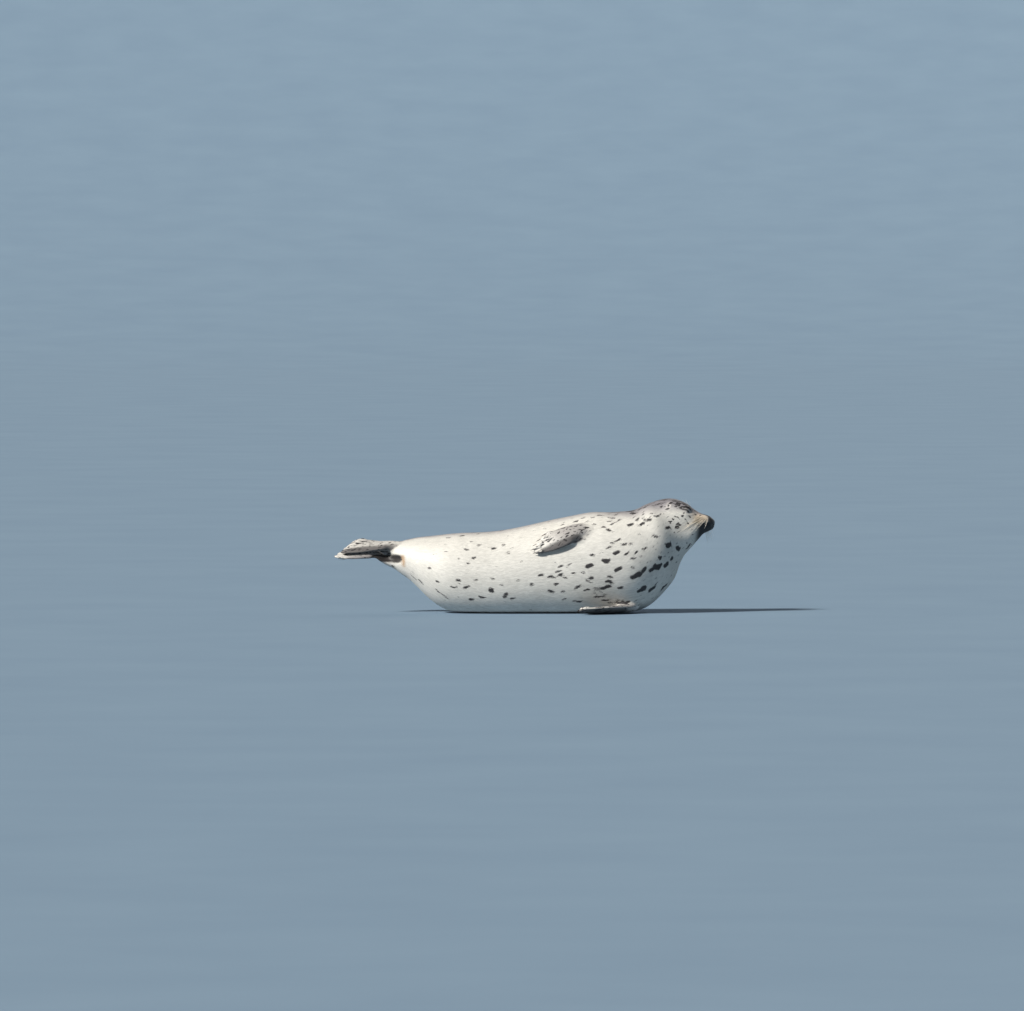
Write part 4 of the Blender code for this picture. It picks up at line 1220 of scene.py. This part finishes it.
def build_coat(skin, spots):
    """Short flat tufts over the whole skin, joined into a few pieces."""
    rng = np.random.default_rng(COAT_SEED)
    width = 0.0003 + TUFT_WIDTH * skin.length
    furred = fall(skin.bare, 0.2, 0.6)
    corners, shares = scatter(skin, furred / (skin.length * width), TUFT_COUNT, rng)
    root, normal, flow, tone, wash, lie, length = (
        mixed(values, corners, shares) for values in
        (skin.points, skin.normals, skin.flow, skin.tone, skin.wash, skin.lie, skin.length))
    normal = unit(normal)
    owner = skin.owner[corners[:, 0]]
    same = (skin.owner[corners] == owner[:, None]).all(axis=1)
    flow = np.where(same[:, None], flow, skin.flow[corners[:, 0]])
    side = unit(np.cross(lie, normal))
    lean = TUFT_SCATTER * rng.standard_normal((TUFT_COUNT, 1))
    lie = unit(np.cross(normal, side) + lean * side)
    length = length * rng.uniform(0.75, 1.25, TUFT_COUNT)
    lift = 0.00005 + length * rng.uniform(0.005, 0.030, TUFT_COUNT)
    jitter = rng.uniform(0.93, 1.06, TUFT_COUNT)
    shape, mark = tuft_shapes(skin, spots, root, normal, lie, length, lift)
    sound = np.nonzero(upright(shape, normal))[0]
    shape[:, :, 2] = np.maximum(shape[:, :, 2], COAT_CLEAR)
    tilt = TUFT_TILT[:, None] * np.cross(lie, normal)[:, None, :]
    shading = unit(normal[:, None, :] + tilt)
    patch = unwrapped(flow, owner)[:, None, :] + TUFT_PATCH
    finish = coat_material()
    fields = {"flow": flow, "tone": tone, "wash": wash, "jitter": jitter}
    order = sound[np.argsort(root[sound, 0])]
    for number, part in enumerate(np.array_split(order, math.ceil(TUFT_COUNT / PIECE_TUFTS)), 1):
        mesh = tuft_mesh("coat_%d" % number, shape[part], shading[part], patch[part])
        store(mesh, {"mark": mark[part].ravel()})
        store(mesh, {name: np.repeat(values[part], 4, axis=0) for name, values in fields.items()})
        placed("coat_%d" % number, mesh, finish, "coat")


def tuft_shapes(skin, spots, root, normal, lie, length, lift):
    """Each tuft's four corners, its tip lifted off the skin, and the spots' dark at them."""
    side = np.cross(lie, normal)
    half = (0.00025 + TUFT_WIDTH * length)[:, None]
    ridge = (0.00010 + 0.012 * length)[:, None]
    ahead = root + length[:, None] * lie
    under, facing = laid_down(skin.mesh, ahead)
    stray = (facing * normal).sum(axis=1) < 0.6
    stray |= np.linalg.norm(under - ahead, axis=1) > 0.45 * length
    length = np.where(stray, STRAY_LENGTH * length, length)[:, None]
    under[stray] = (root + length * lie)[stray]
    facing[stray] = normal[stray]
    root_mark = spots.field(root, normal)
    tip_mark = spots.field(under, facing)
    sag = under - root - length * lie
    climbs = (sag * normal).sum(axis=1, keepdims=True) > 0.0
    bend = np.where(climbs, 0.36, 0.09)      # the ridge follows a rising skin, to stay above it
    sunk = root - 0.00020 * normal
    shape = np.stack((
        sunk - half * side,
        sunk + half * side,
        root + 0.30 * length * lie + bend * sag + ridge * normal,
        under + lift[:, None] * facing), axis=1)
    mark = (root_mark, root_mark, 0.7 * root_mark + 0.3 * tip_mark, tip_mark)
    return shape, np.stack(mark, axis=1)


def upright(shape, normal):
    """Which tufts have both of their upper faces turned out of the skin."""
    sound = np.ones(len(shape), bool)
    for corners in TUFT_FACES[:2]:
        first, second, third = (shape[:, corner] for corner in corners)
        outward = unit(np.cross(second - first, third - first))
        sound &= (outward * normal).sum(axis=1) > 0.25
    return sound


def laid_down(mesh, points):
    """Nearest places on the skin, and which way it faces there."""
    sculpt = bmesh.new()
    sculpt.from_mesh(mesh)
    tree = BVHTree.FromBMesh(sculpt)
    sculpt.free()
    places, facings = zip(*(tree.find_nearest(point)[:2] for point in points))
    return np.array(places), np.array(facings)


def tuft_mesh(name, shape, shading, patch):
    """One mesh of closed four-cornered tufts."""
    count = len(shape)
    faces = (np.arange(count)[:, None, None] * 4 + TUFT_FACES).reshape(-1)
    mesh = bpy.data.meshes.new(name)
    mesh.vertices.add(count * 4)
    mesh.vertices.foreach_set("co", shape.astype(np.float32).ravel())
    mesh.loops.add(len(faces))
    mesh.loops.foreach_set("vertex_index", faces.astype(np.int32))
    mesh.polygons.add(count * 4)
    mesh.polygons.foreach_set("loop_start", np.arange(0, len(faces), 3, dtype=np.int32))
    mesh.update(calc_edges=True)
    mesh.shade_smooth()
    mesh.normals_split_custom_set_from_vertices(shading.reshape(-1, 3))
    layer = mesh.uv_layers.new(name="OFBake")
    layer.data.foreach_set("uv", patch[:, TUFT_FACES].astype(np.float32).ravel())
    return mesh


# ---- whiskers

WHISKER_ROWS = 6
WHISKER_COLUMNS = 7
BROW_BRISTLES = 4            # over each eye
WHISKER_SIDES = 5            # corners round a bristle
WHISKER_RINGS = 25           # and rings of them along it
WHISKER_ROOT = 0.001         # a bristle starts this deep in the skin
WHISKER_SAG = 0.42           # and its tip is carried this share of its length by its bend
BEADS = 11                   # along a whisker of the pad
WHISKER_SEED = 8
BRISTLE_SIDE = np.array((0.3, 0.2, 0.93))     # no bristle runs this way
DOWN = np.array((0.0, 0.0, -1.0))


def nearest_corner(skin, side, depth, height):
    """Number of the head's corner at this depth and height on one side."""
    gap = np.hypot(skin.depth - depth, skin.height - height)
    return np.where(skin.head & (skin.out * side > 0.002), gap, np.inf).argmin()


def whisker_lie(side, column, outward):
    """Which way a bristle of the pad starts out, and which way it bends."""
    forward = HEAD_AXES[0]
    if side > 0.0:
        swept = 0.30 + 0.075 * column
        return 0.40 * outward - swept * forward + 0.58 * DOWN, 0.30 * DOWN - 0.20 * forward
    if column < 2:
        return 0.35 * outward + 0.30 * forward + 0.80 * DOWN, 0.5 * DOWN
    return 0.50 * outward - (0.7 + 0.1 * column) * forward - 0.20 * DOWN, -0.5 * forward


def tube(path, radii, corners, faces):
    """Add a round bristle along a path to the lists of corners and faces."""
    forward = unit(np.gradient(path, axis=0))
    side = unit(np.cross(forward, BRISTLE_SIDE))
    over = np.cross(side, forward)
    turns = 2.0 * math.pi * np.arange(WHISKER_SIDES)[:, None] / WHISKER_SIDES
    spokes = np.cos(turns) * side[:, None] + np.sin(turns) * over[:, None]
    first = len(corners)
    corners += (path[:, None] + radii[:, None, None] * spokes).reshape(-1, 3).tolist()
    last = len(corners) - WHISKER_SIDES
    for ring in range(first, last, WHISKER_SIDES):
        for k in range(WHISKER_SIDES):
            a, b = ring + k, ring + (k + 1) % WHISKER_SIDES
            faces.append((a, b, b + WHISKER_SIDES, a + WHISKER_SIDES))
    faces.append(tuple(reversed(range(first, first + WHISKER_SIDES))))
    faces.append(tuple(range(last, last + WHISKER_SIDES)))


def build_whiskers(skin):
    """Beaded whiskers in rows on both pads, and a few bristles over each eye."""
    rng = np.random.default_rng(WHISKER_SEED)
    corners, faces = [], []
    part = np.linspace(0.0, 1.0, WHISKER_RINGS)
    bead = 1.0 + 0.10 * np.sin(2.0 * math.pi * BEADS * part)
    taper = 1.0 - 0.86 * part ** 1.2

    def bristle(spot, start, sag, length, radii):
        run = part[:, None] * start + WHISKER_SAG * part[:, None] ** 2 * sag
        root = skin.points[spot] - WHISKER_ROOT * skin.normals[spot]
        tube(root + length * run, radii, corners, faces)

    for side in (1.0, -1.0):
        for row, column in itertools.product(range(WHISKER_ROWS), range(WHISKER_COLUMNS)):
            depth = 0.020 + WHISKER_COLUMN_STEP * column + 0.0016 * row
            height = 0.005 - WHISKER_ROW_STEP * row - 0.0006 * column
            if height < mouth_height(depth) + 0.003:
                continue
            spot = nearest_corner(skin, side, depth, height)
            start, sag = whisker_lie(side, column, skin.normals[spot])
            start = unit(start + 0.045 * rng.standard_normal(3))
            length = (0.034 + 0.0095 * column) * rng.uniform(0.85, 1.15)
            bristle(spot, start, sag, length, (0.00050 + 0.00007 * column) * bead * taper)
        for number in range(BROW_BRISTLES):
            spot = nearest_corner(skin, side, 0.098 + 0.006 * number, 0.040 + 0.0015 * number)
            start = 0.8 * skin.normals[spot] - 0.8 * HEAD_AXES[0] + 0.1 * rng.standard_normal(3)
            length = 0.030 * rng.uniform(0.7, 1.2)
            bristle(spot, unit(start), 0.4 * DOWN, length, 0.00026 * taper)
    mesh = bpy.data.meshes.new("whiskers")
    mesh.from_pydata(corners, [], faces)
    mesh.shade_smooth()
    bristles = len(corners) // (WHISKER_RINGS * WHISKER_SIDES)
    store(mesh, {"along": np.tile(np.repeat(part, WHISKER_SIDES), bristles)})
    placed("whiskers", mesh, whisker_material(), "coat")


# ---- studio

CAMERA_DISTANCE = 35.0
CAMERA_HEIGHT = 1.42
CAMERA_SIDE = -0.048
VIEW_HEIGHT = 0.40           # height of the point the camera aims at
VIEW_WIDTH = 3.81            # width of the view there
SENSOR = 36.0
SIGHT = 400.0                # the camera sees this far
SUNLIGHT = (1.0, 0.965, 0.90)
# Name of each light, the direction it comes from, its spread in degrees and its power.
LIGHTS = (
    ("key", (-0.65, -0.52, 0.56), 8.0, 5.5),
    ("fill", (0.70, -0.60, 0.35), 40.0, 0.03),
    ("back", (0.45, 0.70, 0.55), 40.0, 0.55),
)
SKY = (0.62, 0.80, 1.0, 1.0)
SKY_STRENGTH = 0.11
FLOOR_FLAT = 60.0            # the floor is flat this far out
FLOOR_BEND = 80.0            # radius of its bend upwards
FLOOR_SLOPE = 20.0           # and the slope it ends in, in degrees
FLOOR_RISE = 60.0            # how far it goes on at that slope
FLOOR_STEPS = 8
FLOOR_SIDES = 96


def floor_mesh():
    """A round floor, flat in the middle and rising far off all round."""
    bends = [math.radians(FLOOR_SLOPE * step / FLOOR_STEPS) for step in range(FLOOR_STEPS + 1)]
    profile = [(FLOOR_FLAT + FLOOR_BEND * math.sin(bend), FLOOR_BEND * (1.0 - math.cos(bend)))
               for bend in bends]
    edge, height = profile[-1]
    profile.append((edge + FLOOR_RISE, height + FLOOR_RISE * math.tan(bends[-1])))
    turns = [2.0 * math.pi * side / FLOOR_SIDES for side in range(FLOOR_SIDES)]
    corners = [(0.0, 0.0, 0.0)]
    corners += [(radius * math.cos(turn), radius * math.sin(turn), height)
                for radius, height in profile for turn in turns]
    faces = []
    for side in range(FLOOR_SIDES):
        start, end = 1 + side, 1 + (side + 1) % FLOOR_SIDES
        faces.append((0, start, end))
        for ring in range(0, FLOOR_SIDES * (len(profile) - 1), FLOOR_SIDES):
            faces.append((ring + start, ring + FLOOR_SIDES + start,
                          ring + FLOOR_SIDES + end, ring + end))
    mesh = bpy.data.meshes.new("studio_floor")
    mesh.from_pydata(corners, [], faces)
    mesh.shade_smooth()
    return mesh


def build_studio():
    """The floor, the sun with two faint lights, the sky and the camera."""
    placed("studio_floor", floor_mesh(), floor_material())
    for name, towards, spread, power in LIGHTS:
        lamp = bpy.data.lights.new(name, "SUN")
        lamp.angle = math.radians(spread)
        lamp.energy = power
        lamp.color = SUNLIGHT
        light = bpy.data.objects.new(name, lamp)
        light.location = 5.0 * Vector(towards)
        light.rotation_euler = (-Vector(towards)).to_track_quat("-Z", "Y").to_euler()
        bpy.context.scene.collection.objects.link(light)
    world = bpy.data.worlds.new("studio")
    world.use_nodes = True
    sky = world.node_tree.nodes["Background"]
    sky.inputs["Color"].default_value = SKY
    sky.inputs["Strength"].default_value = SKY_STRENGTH
    bpy.context.scene.world = world
    bpy.context.scene.view_settings.view_transform = "Standard"
    build_camera()


def build_camera():
    """A long lens far off on the belly side, a little above the animal."""
    data = bpy.data.cameras.new("camera")
    camera = bpy.data.objects.new("camera", data)
    bpy.context.scene.collection.objects.link(camera)
    camera.location = (CAMERA_SIDE, -CAMERA_DISTANCE, CAMERA_HEIGHT)
    aim = Vector((CAMERA_SIDE, 0.0, VIEW_HEIGHT)) - camera.location
    camera.rotation_euler = aim.to_track_quat("-Z", "Y").to_euler()
    data.sensor_width = SENSOR
    data.lens = SENSOR * aim.length / VIEW_WIDTH
    data.clip_end = SIGHT
    bpy.context.scene.camera = camera


# ---- all together

def finish_nodes(frame):
    """Better finishes for the eyes and claws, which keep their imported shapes."""
    finishes = {"eye": eye_material(), "claw": claw_material()}
    for name, node in frame["nodes"].items():
        finish = finishes.get(name.split("_")[0])
        if finish:
            node.data.materials[0] = finish


def main():
    """Load the frame, dress it and set up the studio."""
    for thing in list(bpy.data.objects):
        bpy.data.objects.remove(thing)
    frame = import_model()
    skin = Skin(frame, Anatomy())
    spots = Spots()
    add_belly_spots(skin, spots)
    add_small_spots(skin, spots)
    build_skin(skin, spots)
    build_coat(skin, spots)
    build_whiskers(skin)
    finish_nodes(frame)
    build_studio()


main()
